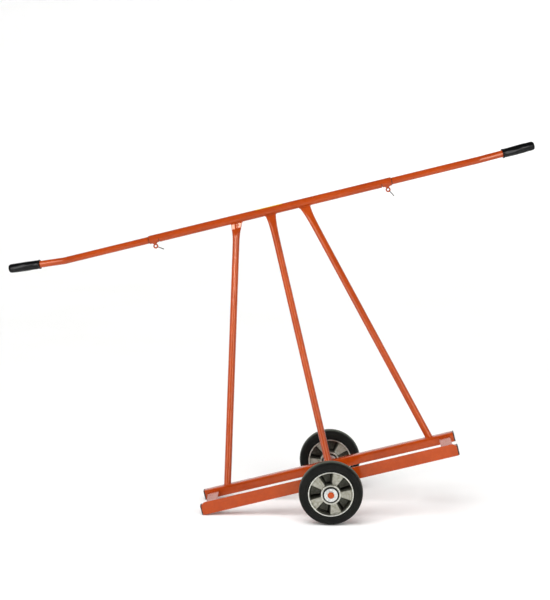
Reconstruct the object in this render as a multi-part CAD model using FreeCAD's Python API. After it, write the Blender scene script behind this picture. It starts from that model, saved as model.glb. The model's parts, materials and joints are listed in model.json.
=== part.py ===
import FreeCAD, Part
import math
import os

from FreeCAD import Placement, Rotation, Vector

# Two-wheeled board carrier: a low steel bed on one axle, three uprights that lean
# back to a cross bar, and two telescopic push handles clamped in the bar's ends.
#
# Every piece is drawn in the carrier's level frame: X along the rails, Y from the
# lip side to the bar side, Z up, with the origin at the middle of the axle. The
# carrier is stored as it rests, tipped on to the left ends of its rails, so that
# the last step turns the whole model about the axle and stands it on the floor.
# Lengths are in millimetres.

# ---- driving dimensions ----------------------------------------------------
WHEEL_R = 100.0          # 200 mm wheel
TYRE_WIDTH = 50.0
TRACK = 420.0            # wheel centre to wheel centre
RAIL_LENGTH = 825.0
RAIL_SIDE = 30.0         # square tube
RAIL_WALL = 2.0
RAIL_BOTTOM = 0.0        # level with the axle's centre
REAR_RAIL_Y = 68.5       # centre line of the rear rail
LIP_FRONT_Y = -127.0     # front face of the lip
LIP_THICK = 4.0
LIP_HEIGHT = 40.0
LIP_CORNER_R = 16.0      # rounded upper corners
STRIP_WIDTH = 36.0
STRIP_THICK = 5.0
STRIP_DROP = 7.0         # strip's top below the rails' top
STRIP_INSET = 11.0       # from the rail's end
PLUG_FLANGE = 4.0
PLUG_DEPTH = 15.0
PLUG_PLAY = 0.2
SLEEVE_R = 14.5          # axle sleeve, outside
SLEEVE_BORE_R = 10.3
AXLE_R = 10.0
BAR_R = 14.0
BAR_BORE_R = 12.0
BAR_Y = 316.0
BAR_Z = 839.5
TUBE_R = 11.5            # uprights and handle tubes
TUBE_WALL = 2.0
FOOT_X = 336.0           # outer uprights on the rear rail
HEAD_X = 112.0           # outer uprights under the bar
CLAMP_ZONE = 33.0        # saw slot to the bar's end
SLOT_WIDTH = 2.0
HANDLE_SHOWN = 293.0     # straight part outside the bar when pulled out
HANDLE_HIDDEN = 120.0    # straight part inside the bar
HANDLE_END = 193.0       # bent end, from bend to tip
HANDLE_BEND = 10.0       # degrees
LEFT_TURN = 65.0         # bent end, degrees from straight up away from the lip side
RIGHT_TURN = 90.0
BEND_RADIUS = 60.0
GUIDE_HEAD = 12.0        # plastic glide inside the bar
GUIDE_SPIGOT = 25.0
RUN_PLAY = 0.05          # radial clearance of the running fits
GRIP_R = 15.8
GRIP_LENGTH = 110.0
EYE_DROP = 24.5          # eye centre below the bar's axis
EYE_R = 8.5
EYE_HOLE_R = 3.5
SCREW_R = 3.0
BOSS_R = 8.0             # pad under the bar that the screw passes
BOSS_HEIGHT = 1.6
LEFT_TAIL = -33.0        # wire tail, degrees above the bar's direction
RIGHT_TAIL = -59.0
TAIL_REACH = 29.0        # from the eye's centre
TAIL_R = 1.5
LABEL_LENGTH = 94.0
LABEL_THICK = 0.2

# ---- wheel details ---------------------------------------------------------
HUB_R = 31.0
HUB_HALF = 30.0
RIM_R = 70.5
RIM_SEAT_R = 68.0
RIM_INNER_R = 65.0
RIM_HALF = 24.0
SEAT_HALF = 20.5
WEB_FACE = 17.0          # web faces, from the wheel's middle plane
WEB_THICK = 5.0
WEB_PAIRS = 5
RIB_THICK = 4.0
BEARING_R = 23.5         # 20 x 47 x 14 ball bearing
BEARING_WIDTH = 14.0
SEAL_R = 25.0
SEAL_BORE_R = 13.5
SEAL_THICK = 2.0
SEAL_SPACE = 2.5
INNER_RACE_R = 13.2
OUTER_RACE_R = 20.3
BALL_R = 3.5
BALLS = 8
WASHER_R = 21.2
WASHER_THICK = 3.0
WASHER_GAP = 0.5
RING_THICK = 1.2
RING_R = 13.5
AXLE_STUB = 3.0          # axle beyond the retaining ring
HUB_BORE_R = 20.0        # between the two bearings
RACE_PLAY = 0.4          # spacer and washer collar, smaller than the inner race
AXLE_GROOVE = 0.5
RING_GAP = 5.0           # opening of the retaining ring
TYRE_FOOT_R = 71.5       # where the side wall meets the rim band
SIDE_MID_R = 81.0
SIDE_BULGE = 1.0
SHOULDER_R = 90.0
SHOULDER_MID_R = 95.0
SHOULDER_IN = 4.0
TREAD_EDGE_R = 97.6
TREAD_EDGE_IN = 8.0
FRONT_WHEEL_TURN = -4.4  # middle of a panel that faces the lip side, as the carrier stands
REAR_WHEEL_TURN = 46.0

# ---- pressed tops of the uprights, grips and small gaps --------------------
PRESS_HALF = 3.0         # half the thickness of the pressed tube
PRESS_INTO_BAR = 3.0     # runs on past the bar's surface before it is coped
PRESS_BELOW_BAR = 9.0
NECK_LENGTH = 30.0       # from round to flat
FOOT_SPARE = 20.0        # cut off by the mitre on the rail
GRIP_ROUND = 2.0
GRIP_END = 3.0           # closed end of the grip
SCREW_GAP = 0.3          # screw tip to handle tube
TAIL_OVERLAP = 0.5       # wire sunk into the ring by its weld
LABEL_BACK = 5.5         # label's edge past the top of the bar, towards the boards

# ---- worked-out places -----------------------------------------------------
HALF_RAIL = RAIL_LENGTH / 2
EYE_X = HALF_RAIL - CLAMP_ZONE / 2
RAIL_TOP = RAIL_BOTTOM + RAIL_SIDE
FRONT_RAIL_Y = LIP_FRONT_Y + LIP_THICK + RAIL_SIDE / 2
STRIP_TOP = RAIL_TOP - STRIP_DROP
BEARING_OUT = HUB_HALF - SEAL_SPACE
BEARING_IN = BEARING_OUT - BEARING_WIDTH
WASHER_IN = HUB_HALF + WASHER_GAP
WASHER_OUT = WASHER_IN + WASHER_THICK
RING_OUT = WASHER_OUT + RING_THICK
AXLE_HALF = TRACK / 2 + RING_OUT + AXLE_STUB
SLEEVE_HALF = TRACK / 2 - WASHER_OUT
TILT = math.degrees(math.asin(WHEEL_R / (HALF_RAIL + PLUG_FLANGE)))
X_AXIS = Vector(1, 0, 0)
Y_AXIS = Vector(0, 1, 0)
Z_AXIS = Vector(0, 0, 1)
BIG = 400.0              # half-length of the cutting bodies


# ---- helpers ---------------------------------------------------------------
def rod(start, end, radius):
    """A solid cylinder from one point to another."""
    return Part.makeCylinder(radius, (end - start).Length, start, end - start)


def tube(start, end, outer, inner):
    """A round tube with square ends; the bore is cut past both ends."""
    run = (end - start).normalize()
    return rod(start, end, outer).cut(rod(start - run, end + run, inner))


def block(x, y, z):
    """A box from three (low, high) pairs."""
    return Part.makeBox(x[1] - x[0], y[1] - y[0], z[1] - z[0], Vector(x[0], y[0], z[0]))


def mirrored(pair):
    """The (low, high) pair on the other side of zero."""
    return (-pair[1], -pair[0])


def ring(r_in, r_out, y_low, y_high):
    """A flat ring around the Y axis."""
    return tube(Vector(0, y_low, 0), Vector(0, y_high, 0), r_out, r_in)


def turned(points):
    """A solid of revolution about Y from (radius, y) corners."""
    corners = [Vector(r, y, 0) for r, y in points]
    face = Part.Face(Part.makePolygon(corners + corners[:1]))
    return face.revolve(Vector(0, 0, 0), Y_AXIS, 360)


def group(solids):
    """Several separate solids of one kind, kept as one node."""
    return Part.makeCompound(solids)


# ---- bed -------------------------------------------------------------------
def saddle():
    """The half-round notch that seats a rail on the axle sleeve."""
    return rod(Vector(0, -BIG, 0), Vector(0, BIG, 0), SLEEVE_R)


def rail(y_mid):
    """Square tube, notched at mid-length over the axle sleeve."""
    half = RAIL_SIDE / 2
    inner = half - RAIL_WALL
    z_mid = RAIL_BOTTOM + half
    outside = block((-HALF_RAIL, HALF_RAIL), (y_mid - half, y_mid + half), (RAIL_BOTTOM, RAIL_TOP))
    inside = block((-HALF_RAIL - 1, HALF_RAIL + 1), (y_mid - inner, y_mid + inner),
                   (z_mid - inner, z_mid + inner))
    return outside.cut(inside).cut(saddle())


def front_lip():
    """Upright flat bar on the front rail, with rounded upper corners."""
    top = RAIL_BOTTOM + LIP_HEIGHT
    flat = block((-HALF_RAIL, HALF_RAIL), (LIP_FRONT_Y, LIP_FRONT_Y + LIP_THICK), (RAIL_BOTTOM, top))
    corners = [e for e in flat.Edges
               if abs(e.BoundBox.YLength - LIP_THICK) < 0.1 and e.BoundBox.ZMin > top - 1]
    return flat.makeFillet(LIP_CORNER_R, corners).cut(saddle())


def cross_strip(side):
    """Flat bar that ties the two rails together near one end."""
    outer = HALF_RAIL - STRIP_INSET
    x = (outer - STRIP_WIDTH, outer)
    if side < 0:
        x = mirrored(x)
    y = (FRONT_RAIL_Y + RAIL_SIDE / 2, REAR_RAIL_Y - RAIL_SIDE / 2)
    return block(x, y, (STRIP_TOP - STRIP_THICK, STRIP_TOP))


def end_plugs():
    """Four ribbed plastic plugs, each a flange and a spigot inside the tube."""
    plugs = []
    half = RAIL_SIDE / 2
    spigot = half - RAIL_WALL - PLUG_PLAY
    z_mid = RAIL_BOTTOM + half
    for y_mid in (FRONT_RAIL_Y, REAR_RAIL_Y):
        for side in (-1, 1):
            flange_x = (HALF_RAIL, HALF_RAIL + PLUG_FLANGE)
            spigot_x = (HALF_RAIL - PLUG_DEPTH, HALF_RAIL)
            if side < 0:
                flange_x = mirrored(flange_x)
                spigot_x = mirrored(spigot_x)
            flange = block(flange_x, (y_mid - half, y_mid + half), (RAIL_BOTTOM, RAIL_TOP))
            body = block(spigot_x, (y_mid - spigot, y_mid + spigot), (z_mid - spigot, z_mid + spigot))
            plugs.append(flange.fuse(body).removeSplitter())
    return group(plugs)


# ---- axle ------------------------------------------------------------------
def axle_shaft():
    """Round bar with a groove for a retaining ring near each end."""
    shaft = rod(Vector(0, -AXLE_HALF, 0), Vector(0, AXLE_HALF, 0), AXLE_R)
    groove_r = AXLE_R - AXLE_GROOVE
    for side in (-1, 1):
        y = sorted(side * (TRACK / 2 + d) for d in (WASHER_OUT, RING_OUT))
        shaft = shaft.cut(ring(groove_r, AXLE_R + 1, y[0], y[1]))
    return shaft


def on_both_wheels(make):
    """The same pair of pieces for the front and the rear wheel."""
    solids = []
    for y_wheel in (-TRACK / 2, TRACK / 2):
        for side in (-1, 1):
            piece = make(side)
            piece.translate(Vector(0, y_wheel, 0))
            solids.append(piece)
    return group(solids)


def stepped_washer(side):
    """Washer with a collar that reaches in to the bearing's inner race."""
    collar = ring(AXLE_R, INNER_RACE_R - RACE_PLAY, *sorted((side * BEARING_OUT, side * WASHER_OUT)))
    disc = ring(AXLE_R, WASHER_R, *sorted((side * WASHER_IN, side * WASHER_OUT)))
    return collar.fuse(disc).removeSplitter()


def inner_race(side):
    """Inner race of one bearing, clamped on the axle."""
    return ring(AXLE_R, INNER_RACE_R, *sorted((side * BEARING_IN, side * BEARING_OUT)))


def retaining_rings():
    """Open ring in each axle groove, outside the outer washers."""
    rings = []
    for side in (-1, 1):
        y = sorted(side * (TRACK / 2 + d) for d in (WASHER_OUT, RING_OUT))
        whole = ring(AXLE_R - AXLE_GROOVE, RING_R, y[0], y[1])
        gap = block((-RING_GAP / 2, RING_GAP / 2), (y[0] - 1, y[1] + 1), (-RING_R - 1, 0))
        rings.append(whole.cut(gap))
    return group(rings)


def hub_spacers():
    """Tube between the two bearings of each wheel."""
    spacers = []
    for y_wheel in (-TRACK / 2, TRACK / 2):
        spacers.append(ring(AXLE_R, INNER_RACE_R - RACE_PLAY, y_wheel - BEARING_IN, y_wheel + BEARING_IN))
    return group(spacers)


# ---- wheels ----------------------------------------------------------------
def tyre():
    """Solid rubber tyre: crowned tread, rounded shoulders, seat on the rim."""
    half = TYRE_WIDTH / 2
    edges = []
    for side in (-1, 1):
        seat = Vector(RIM_SEAT_R, side * SEAT_HALF, 0)
        step = Vector(TYRE_FOOT_R, side * SEAT_HALF, 0)
        foot = Vector(TYRE_FOOT_R, side * (half - SIDE_BULGE), 0)
        side_mid = Vector(SIDE_MID_R, side * half, 0)
        shoulder = Vector(SHOULDER_R, side * (half - SIDE_BULGE), 0)
        shoulder_mid = Vector(SHOULDER_MID_R, side * (half - SHOULDER_IN), 0)
        tread_edge = Vector(TREAD_EDGE_R, side * (half - TREAD_EDGE_IN), 0)
        edges.append(Part.LineSegment(Vector(RIM_SEAT_R, 0, 0), seat).toShape())
        edges.append(Part.LineSegment(seat, step).toShape())
        edges.append(Part.LineSegment(step, foot).toShape())
        edges.append(Part.Arc(foot, side_mid, shoulder).toShape())
        edges.append(Part.Arc(shoulder, shoulder_mid, tread_edge).toShape())
    other_edge = Vector(tread_edge.x, -tread_edge.y, 0)
    edges.append(Part.Arc(tread_edge, Vector(WHEEL_R, 0, 0), other_edge).toShape())
    profile = Part.Wire(Part.sortEdges(edges)[0])
    return Part.Face(profile).revolve(Vector(0, 0, 0), Y_AXIS, 360).removeSplitter()


def sector(y_low, y_high, start, span):
    """Web plate between hub and rim over part of a turn, angles in degrees."""
    face = Part.Face(Part.makePolygon([
        Vector(HUB_R - 1, y_low, 0), Vector(RIM_INNER_R + 1, y_low, 0),
        Vector(RIM_INNER_R + 1, y_high, 0), Vector(HUB_R - 1, y_high, 0),
        Vector(HUB_R - 1, y_low, 0)]))
    plate = face.revolve(Vector(0, 0, 0), Y_AXIS, span)
    plate.rotate(Vector(0, 0, 0), Y_AXIS, start)
    return plate


def rim(turn):
    """Die-cast rim: hub, rim band, and a folded web whose panels face out on alternate sides.

    The turn is that of a lip-side panel, in degrees upwards from +X.
    """
    band = turned([(RIM_INNER_R, -RIM_HALF), (RIM_R, -RIM_HALF), (RIM_R, -SEAT_HALF),
                   (RIM_SEAT_R, -SEAT_HALF), (RIM_SEAT_R, SEAT_HALF), (RIM_R, SEAT_HALF),
                   (RIM_R, RIM_HALF), (RIM_INNER_R, RIM_HALF)])
    hub = ring(HUB_BORE_R, HUB_R, -HUB_HALF, HUB_HALF)
    pieces = [hub]
    span = 180.0 / WEB_PAIRS
    for k in range(2 * WEB_PAIRS):
        mid = -turn + k * span
        if k % 2 == 0:
            y = (-WEB_FACE, WEB_THICK - WEB_FACE)
        else:
            y = (WEB_FACE - WEB_THICK, WEB_FACE)
        pieces.append(sector(y[0], y[1], mid - span / 2, span))
        rib = block((HUB_R - 1, RIM_INNER_R + 1), (-WEB_FACE, WEB_FACE), (-RIB_THICK / 2, RIB_THICK / 2))
        rib.rotate(Vector(0, 0, 0), Y_AXIS, mid + span / 2)
        pieces.append(rib)
    casting = band.multiFuse(pieces).removeSplitter()
    for side in (-1, 1):
        seat = sorted((side * BEARING_IN, side * (HUB_HALF + 1)))
        casting = casting.cut(rod(Vector(0, seat[0], 0), Vector(0, seat[1], 0), BEARING_R))
        mouth = sorted((side * BEARING_OUT, side * (HUB_HALF + 1)))
        casting = casting.cut(rod(Vector(0, mouth[0], 0), Vector(0, mouth[1], 0), SEAL_R))
    return casting


def outer_races():
    """Outer race of each of the wheel's two bearings."""
    return group([ring(OUTER_RACE_R, BEARING_R, *sorted((s * BEARING_IN, s * BEARING_OUT)))
                  for s in (-1, 1)])


def bearing_balls():
    """Eight balls in each bearing."""
    balls = []
    pitch_r = (INNER_RACE_R + OUTER_RACE_R) / 2
    for side in (-1, 1):
        y_mid = side * (BEARING_IN + BEARING_OUT) / 2
        for k in range(BALLS):
            angle = 2 * math.pi * k / BALLS
            centre = Vector(pitch_r * math.cos(angle), y_mid, pitch_r * math.sin(angle))
            balls.append(Part.makeSphere(BALL_R, centre))
    return group(balls)


def hub_seals():
    """Black dust seal in the mouth of the hub, in front of each bearing."""
    return group([ring(SEAL_BORE_R, SEAL_R, *sorted((s * BEARING_OUT, s * (BEARING_OUT + SEAL_THICK))))
                  for s in (-1, 1)])


# ---- uprights and bar ------------------------------------------------------
def bar_axis(x):
    """A point on the cross bar's axis."""
    return Vector(x, BAR_Y, BAR_Z)


def flat_section(centre, run, half_width, half_thick):
    """Flattened tube outline: a stadium across the upright, its long side along the bar."""
    wide = X_AXIS - run * run.dot(X_AXIS)
    wide.normalize()
    thin = run.cross(wide)
    side = half_width - half_thick
    a = centre + wide * side + thin * half_thick
    b = centre - wide * side + thin * half_thick
    c = centre - wide * side - thin * half_thick
    d = centre + wide * side - thin * half_thick
    return Part.Wire([
        Part.Arc(d, centre + wide * half_width, a).toShape(),
        Part.LineSegment(a, b).toShape(),
        Part.Arc(b, centre - wide * half_width, c).toShape(),
        Part.LineSegment(c, d).toShape()])


def upright(foot_x, head_x):
    """Round tube, mitred on the rear rail and pressed flat where it meets the bar."""
    foot = Vector(foot_x, REAR_RAIL_Y, RAIL_TOP)
    head = bar_axis(head_x)
    run = (head - foot).normalize()
    flat_top = head - run * (BAR_R - PRESS_INTO_BAR)
    flat_low = head - run * (BAR_R + PRESS_BELOW_BAR)
    round_top = flat_low - run * NECK_LENGTH
    pipe = tube(foot - run * FOOT_SPARE, round_top, TUBE_R, TUBE_R - TUBE_WALL)
    half_width = math.pi * TUBE_R / 2
    wide = X_AXIS - run * run.dot(X_AXIS)
    wide.normalize()
    thin = run.cross(wide)
    quarter = [round_top + wide * TUBE_R, round_top + thin * TUBE_R,
               round_top - wide * TUBE_R, round_top - thin * TUBE_R]
    full = Part.Wire([Part.Arc(quarter[3], quarter[0], quarter[1]).toShape(),
                      Part.Arc(quarter[1], quarter[2], quarter[3]).toShape()])
    flat_ends = [flat_section(end, run, half_width, PRESS_HALF) for end in (flat_low, flat_top)]
    neck = Part.makeLoft([full, flat_ends[0]], True, True)
    flat = Part.makeLoft(flat_ends, True, True)
    body = pipe.multiFuse([neck, flat])
    below = block((-BIG, BIG), (-BIG, BIG), (-BIG, RAIL_TOP))
    seat = rod(bar_axis(-BIG), bar_axis(BIG), BAR_R)
    return body.cut(below).cut(seat)


def main_bar():
    """Cross bar, with a half-depth saw slot and a tapped hole at each clamp end."""
    bar = tube(bar_axis(-HALF_RAIL), bar_axis(HALF_RAIL), BAR_R, BAR_BORE_R)
    for side in (-1, 1):
        slot_x = side * (HALF_RAIL - CLAMP_ZONE)
        slot = block((slot_x - SLOT_WIDTH / 2, slot_x + SLOT_WIDTH / 2),
                     (BAR_Y - BAR_R - 1, BAR_Y + BAR_R + 1), (BAR_Z - BAR_R - 1, BAR_Z))
        eye = bar_axis(side * EYE_X)
        bar = bar.cut(slot).cut(rod(eye - Z_AXIS * (BAR_R + 5), eye, SCREW_R + RUN_PLAY))
    return bar


def clamp_bosses():
    """Round pad under each tapped hole, shaped to the bar."""
    pads = []
    seat = rod(bar_axis(-HALF_RAIL), bar_axis(HALF_RAIL), BAR_R)
    for side in (-1, 1):
        eye = bar_axis(side * EYE_X)
        pad = tube(eye - Z_AXIS * (BAR_R + BOSS_HEIGHT), eye, BOSS_R, SCREW_R + RUN_PLAY)
        pads.append(pad.cut(seat))
    return group([solid for pad in pads for solid in pad.Solids])


def blank_label():
    """Blank sticker wrapped over the back of the bar's top."""
    band = tube(bar_axis(-LABEL_LENGTH / 2), bar_axis(LABEL_LENGTH / 2), BAR_R + LABEL_THICK, BAR_R)
    keep = block((-LABEL_LENGTH, LABEL_LENGTH), (BAR_Y - LABEL_BACK, BAR_Y + 2 * BAR_R),
                 (BAR_Z, BAR_Z + 2 * BAR_R))
    return band.common(keep)


# ---- handles ---------------------------------------------------------------
def in_place(shape, side, turn):
    """Turn a handle piece about the tube's axis, mirror it to its side and move it to the bar's end."""
    shape.rotate(Vector(0, 0, 0), X_AXIS, -turn)
    if side < 0:
        shape = shape.mirror(Vector(0, 0, 0), X_AXIS)
    shape.translate(bar_axis(side * HALF_RAIL))
    return shape


def bent_run():
    """Direction of the handle's bent end."""
    angle = math.radians(HANDLE_BEND)
    return Vector(math.cos(angle), 0, math.sin(angle))


def handle_solid(radius, back, forward):
    """Straight run, bend and bent end as one round bar of the given radius."""
    tangent = BEND_RADIUS * math.tan(math.radians(HANDLE_BEND) / 2)
    corner = Vector(HANDLE_SHOWN, 0, 0)
    start = corner - X_AXIS * tangent
    end = corner + bent_run() * tangent
    straight = rod(Vector(-back, 0, 0), start, radius)
    disc = Part.Face(Part.Wire(Part.makeCircle(radius, start, X_AXIS)))
    elbow = disc.revolve(start + Z_AXIS * BEND_RADIUS, Y_AXIS * -1, HANDLE_BEND)
    last = rod(end, corner + bent_run() * forward, radius)
    return straight.multiFuse([elbow, last]).removeSplitter()


def handle_tube(side, turn):
    """Telescopic tube with its end bent for the grip."""
    outer = handle_solid(TUBE_R, HANDLE_HIDDEN, HANDLE_END - GRIP_END)
    inner = handle_solid(TUBE_R - TUBE_WALL, HANDLE_HIDDEN + 1, HANDLE_END)
    return in_place(outer.cut(inner), side, turn)


def handle_grip(side, turn):
    """Closed push-on grip with rounded edges."""
    run = bent_run()
    corner = Vector(HANDLE_SHOWN, 0, 0)
    mouth = corner + run * (HANDLE_END - GRIP_LENGTH)
    tip = corner + run * HANDLE_END
    body = rod(mouth, tip, GRIP_R)
    rims = [e for e in body.Edges if e.Curve.TypeId == "Part::GeomCircle"]
    body = body.makeFillet(GRIP_ROUND, rims)
    bore = rod(mouth - run, tip - run * GRIP_END, TUBE_R)
    return in_place(body.cut(bore), side, turn)


def handle_guide(side):
    """Plastic glide on the tube's inner end: it fills the bar's bore and the tube turns on its spigot."""
    inner_end = -HANDLE_HIDDEN
    head = rod(Vector(inner_end - GUIDE_HEAD, 0, 0), Vector(inner_end - RUN_PLAY, 0, 0),
               BAR_BORE_R - RUN_PLAY)
    spigot = rod(Vector(inner_end - 1, 0, 0), Vector(inner_end + GUIDE_SPIGOT, 0, 0),
                 TUBE_R - TUBE_WALL - RUN_PLAY)
    return in_place(head.fuse(spigot).removeSplitter(), side, 0)


def eye_screw(side):
    """Clamp screw with a welded ring head below the bar."""
    centre = bar_axis(side * EYE_X) - Z_AXIS * EYE_DROP
    wire_r = (EYE_R - EYE_HOLE_R) / 2
    head = Part.makeTorus(EYE_HOLE_R + wire_r, wire_r, centre, Y_AXIS)
    tip = bar_axis(side * EYE_X) - Z_AXIS * (TUBE_R + SCREW_GAP)
    shank = rod(centre + Z_AXIS * (EYE_HOLE_R + wire_r), tip, SCREW_R)
    return head.fuse(shank)


def wire_tail(side, angle):
    """Short steel wire welded to the ring's rim."""
    centre = bar_axis(side * EYE_X) - Z_AXIS * EYE_DROP
    turn = math.radians(angle)
    run = Vector(math.cos(turn), 0, math.sin(turn))
    return rod(centre + run * (EYE_R - TAIL_OVERLAP), centre + run * TAIL_REACH, TAIL_R)


# ---- build -----------------------------------------------------------------
def build():
    """All nodes in the level frame, by name."""
    nodes = {
        "front_rail_tube": rail(FRONT_RAIL_Y),
        "rear_rail_tube": rail(REAR_RAIL_Y),
        "front_lip": front_lip(),
        "cross_strip_left": cross_strip(-1),
        "cross_strip_right": cross_strip(1),
        "rail_end_plugs": end_plugs(),
        "axle_sleeve": ring(SLEEVE_BORE_R, SLEEVE_R, -SLEEVE_HALF, SLEEVE_HALF),
        "axle_shaft": axle_shaft(),
        "axle_washers": on_both_wheels(stepped_washer),
        "retaining_rings": retaining_rings(),
        "bearing_inner_races": on_both_wheels(inner_race),
        "hub_spacers": hub_spacers(),
        "upright_left": upright(-FOOT_X, -HEAD_X),
        "upright_middle": upright(0, 0),
        "upright_right": upright(FOOT_X, HEAD_X),
        "main_bar_tube": main_bar(),
        "clamp_bosses": clamp_bosses(),
        "blank_label": blank_label(),
    }
    for name, side, turn in (("front", -1, FRONT_WHEEL_TURN), ("rear", 1, REAR_WHEEL_TURN)):
        pieces = {
            "tyre_" + name: tyre(),
            "rim_" + name: rim(turn - TILT),
            "bearing_outer_races_" + name: outer_races(),
            "bearing_balls_" + name: bearing_balls(),
            "hub_seals_" + name: hub_seals(),
        }
        for node, shape in pieces.items():
            shape.translate(Vector(0, side * TRACK / 2, 0))
            nodes[node] = shape
    for name, side, turn, tail in (("left", -1, LEFT_TURN, LEFT_TAIL),
                                   ("right", 1, RIGHT_TURN, RIGHT_TAIL)):
        nodes["handle_tube_" + name] = handle_tube(side, turn)
        nodes["handle_grip_" + name] = handle_grip(side, turn)
        nodes["handle_guide_" + name] = handle_guide(side)
        nodes["eye_screw_" + name] = eye_screw(side)
        nodes["wire_tail_" + name] = wire_tail(side, tail)
    return nodes


def stand_on_floor(nodes):
    """Tip every node on to the left rail ends, and put the footprint's centre at the origin."""
    tip = Placement(Vector(0, 0, WHEEL_R), Rotation(Y_AXIS, -TILT))
    box = FreeCAD.BoundBox()
    for name in nodes:
        nodes[name].transformShape(tip.toMatrix(), True)
        box.add(nodes[name].optimalBoundingBox(False, False))
    shift = Vector(-box.Center.x, -box.Center.y, 0)
    for shape in nodes.values():
        shape.translate(shift)
    print("tilt", round(TILT, 4), "shift", [round(v, 3) for v in shift])
    print("size", [round(v, 1) for v in (box.XLength, box.YLength, box.ZLength)])
    print("lowest point", round(box.ZMin, 3))


def main():
    os.makedirs("parts", exist_ok=True)
    nodes = build()
    stand_on_floor(nodes)
    for name, shape in nodes.items():
        shape.exportStep("parts/" + name + ".step")
        print(name, len(shape.Solids), shape.isValid(), round(shape.Volume))


main()
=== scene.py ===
# %% [markdown]
# # A two-wheeled board carrier
# The real thing is a welded steel trolley for sheets of plasterboard: a low bed on one axle, three
# leaning uprights, a cross bar, and a telescopic handle in each end of the bar. It is orange powder
# coat nearly all over, so the shape has to carry the picture: rounded tube corners, pressed tube
# ends, weld beads and a die-cast wheel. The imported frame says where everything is, and each piece
# below is worked out as a surface around it.

# %% The frame
import json
import math

import bmesh
import bpy
import numpy as np
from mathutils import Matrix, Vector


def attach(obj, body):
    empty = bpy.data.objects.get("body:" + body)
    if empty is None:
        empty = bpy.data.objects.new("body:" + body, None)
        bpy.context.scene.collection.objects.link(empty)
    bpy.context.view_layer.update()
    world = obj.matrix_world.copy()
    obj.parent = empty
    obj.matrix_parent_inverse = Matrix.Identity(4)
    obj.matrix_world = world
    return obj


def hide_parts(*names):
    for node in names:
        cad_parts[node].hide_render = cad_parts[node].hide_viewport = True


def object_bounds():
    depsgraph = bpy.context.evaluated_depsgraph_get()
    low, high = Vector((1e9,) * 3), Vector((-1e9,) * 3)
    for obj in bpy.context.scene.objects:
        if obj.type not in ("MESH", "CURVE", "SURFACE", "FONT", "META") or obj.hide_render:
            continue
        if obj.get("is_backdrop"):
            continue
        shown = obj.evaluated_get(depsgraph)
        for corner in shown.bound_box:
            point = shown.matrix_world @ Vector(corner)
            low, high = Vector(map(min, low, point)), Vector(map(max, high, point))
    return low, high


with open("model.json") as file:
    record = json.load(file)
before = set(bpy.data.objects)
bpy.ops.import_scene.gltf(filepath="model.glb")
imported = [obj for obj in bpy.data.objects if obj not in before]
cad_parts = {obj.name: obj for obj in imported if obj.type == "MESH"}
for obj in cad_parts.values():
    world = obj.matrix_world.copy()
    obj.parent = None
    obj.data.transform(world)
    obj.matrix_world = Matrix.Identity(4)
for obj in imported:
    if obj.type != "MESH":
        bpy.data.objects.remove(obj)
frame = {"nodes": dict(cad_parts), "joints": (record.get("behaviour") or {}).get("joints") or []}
cad_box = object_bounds()
print("nodes in the frame:", len(frame["nodes"]))

# %% [markdown]
# ## The level frame
# The carrier is kept tipped on to the left ends of its rails, which makes every coordinate awkward.
# The rails could be built in place with turned objects, but a finished piece has to sit at the
# origin, unturned. So all shapes are worked out in millimetres in the carrier's own level frame
# (X along the rails, Y from the lip to the bar, Z up, origin mid-axle) and one function carries
# whole arrays of points into the tipped frame in metres.

# %% From level millimetres to the frame in metres
joints = {joint["name"]: joint for joint in frame["joints"]}
wheel_points = [joints[f"wheel_{name}_spin"]["pos_m"] for name in ("front", "rear")]
axle_middle = np.mean(wheel_points, axis=0)
along = np.array(joints["handle_left_slide"]["axis"], float)
across = np.array([0.0, 1.0, 0.0])
level_axes = np.array([along, across, np.cross(along, across)])
TIP = math.degrees(math.atan2(along[2], along[0]))
TRACK = float(np.ptp(np.array(wheel_points)[:, 1])) * 1000


def to_frame(points):
    """Axle middle plus x, y and z times the three level axes, millimetres to metres."""
    return axle_middle + np.asarray(points, float) @ level_axes / 1000


def level_points(node):
    """A CAD node's points in the level frame, in millimetres: the same sum turned round."""
    mesh = frame["nodes"][node].data
    points = np.empty(len(mesh.vertices) * 3)
    mesh.vertices.foreach_get("co", points)
    return (points.reshape(-1, 3) - axle_middle) @ level_axes.T * 1000


def level_box(node):
    """Lowest and highest corner of a CAD node in the level frame."""
    level = level_points(node)
    return level.min(0), level.max(0)


print(f"tipped by {TIP:.2f} degrees, track {TRACK:.0f} mm")

# %% [markdown]
# ## Grids and skins
# Everything here is a grid of points: rings carried along a path, or a profile carried round an
# axis. `loft` joins neighbouring rings with quads, and either caps the ends, leaves them open or
# joins the last ring to the first, which makes a hollow tube with its wall as one closed skin.

# %% Joining rings
def loft(rings, ends="caps"):
    """Point (i, j) is joined to (i, j + 1), (i + 1, j + 1) and (i + 1, j); rings close on themselves."""
    rings = np.asarray(rings, float)
    count, size = rings.shape[:2]
    index = np.arange(count * size).reshape(count, size)
    rows = np.vstack([index, index[:1]]) if ends == "loop" else index
    near, far = rows[:-1], rows[1:]
    quads = np.stack([near, np.roll(near, -1, 1), np.roll(far, -1, 1), far], -1).reshape(-1, 4)
    faces = quads.tolist()
    if ends == "caps":
        faces += [index[0].tolist(), index[-1].tolist()]
    return rings.reshape(-1, 3), faces


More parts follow.
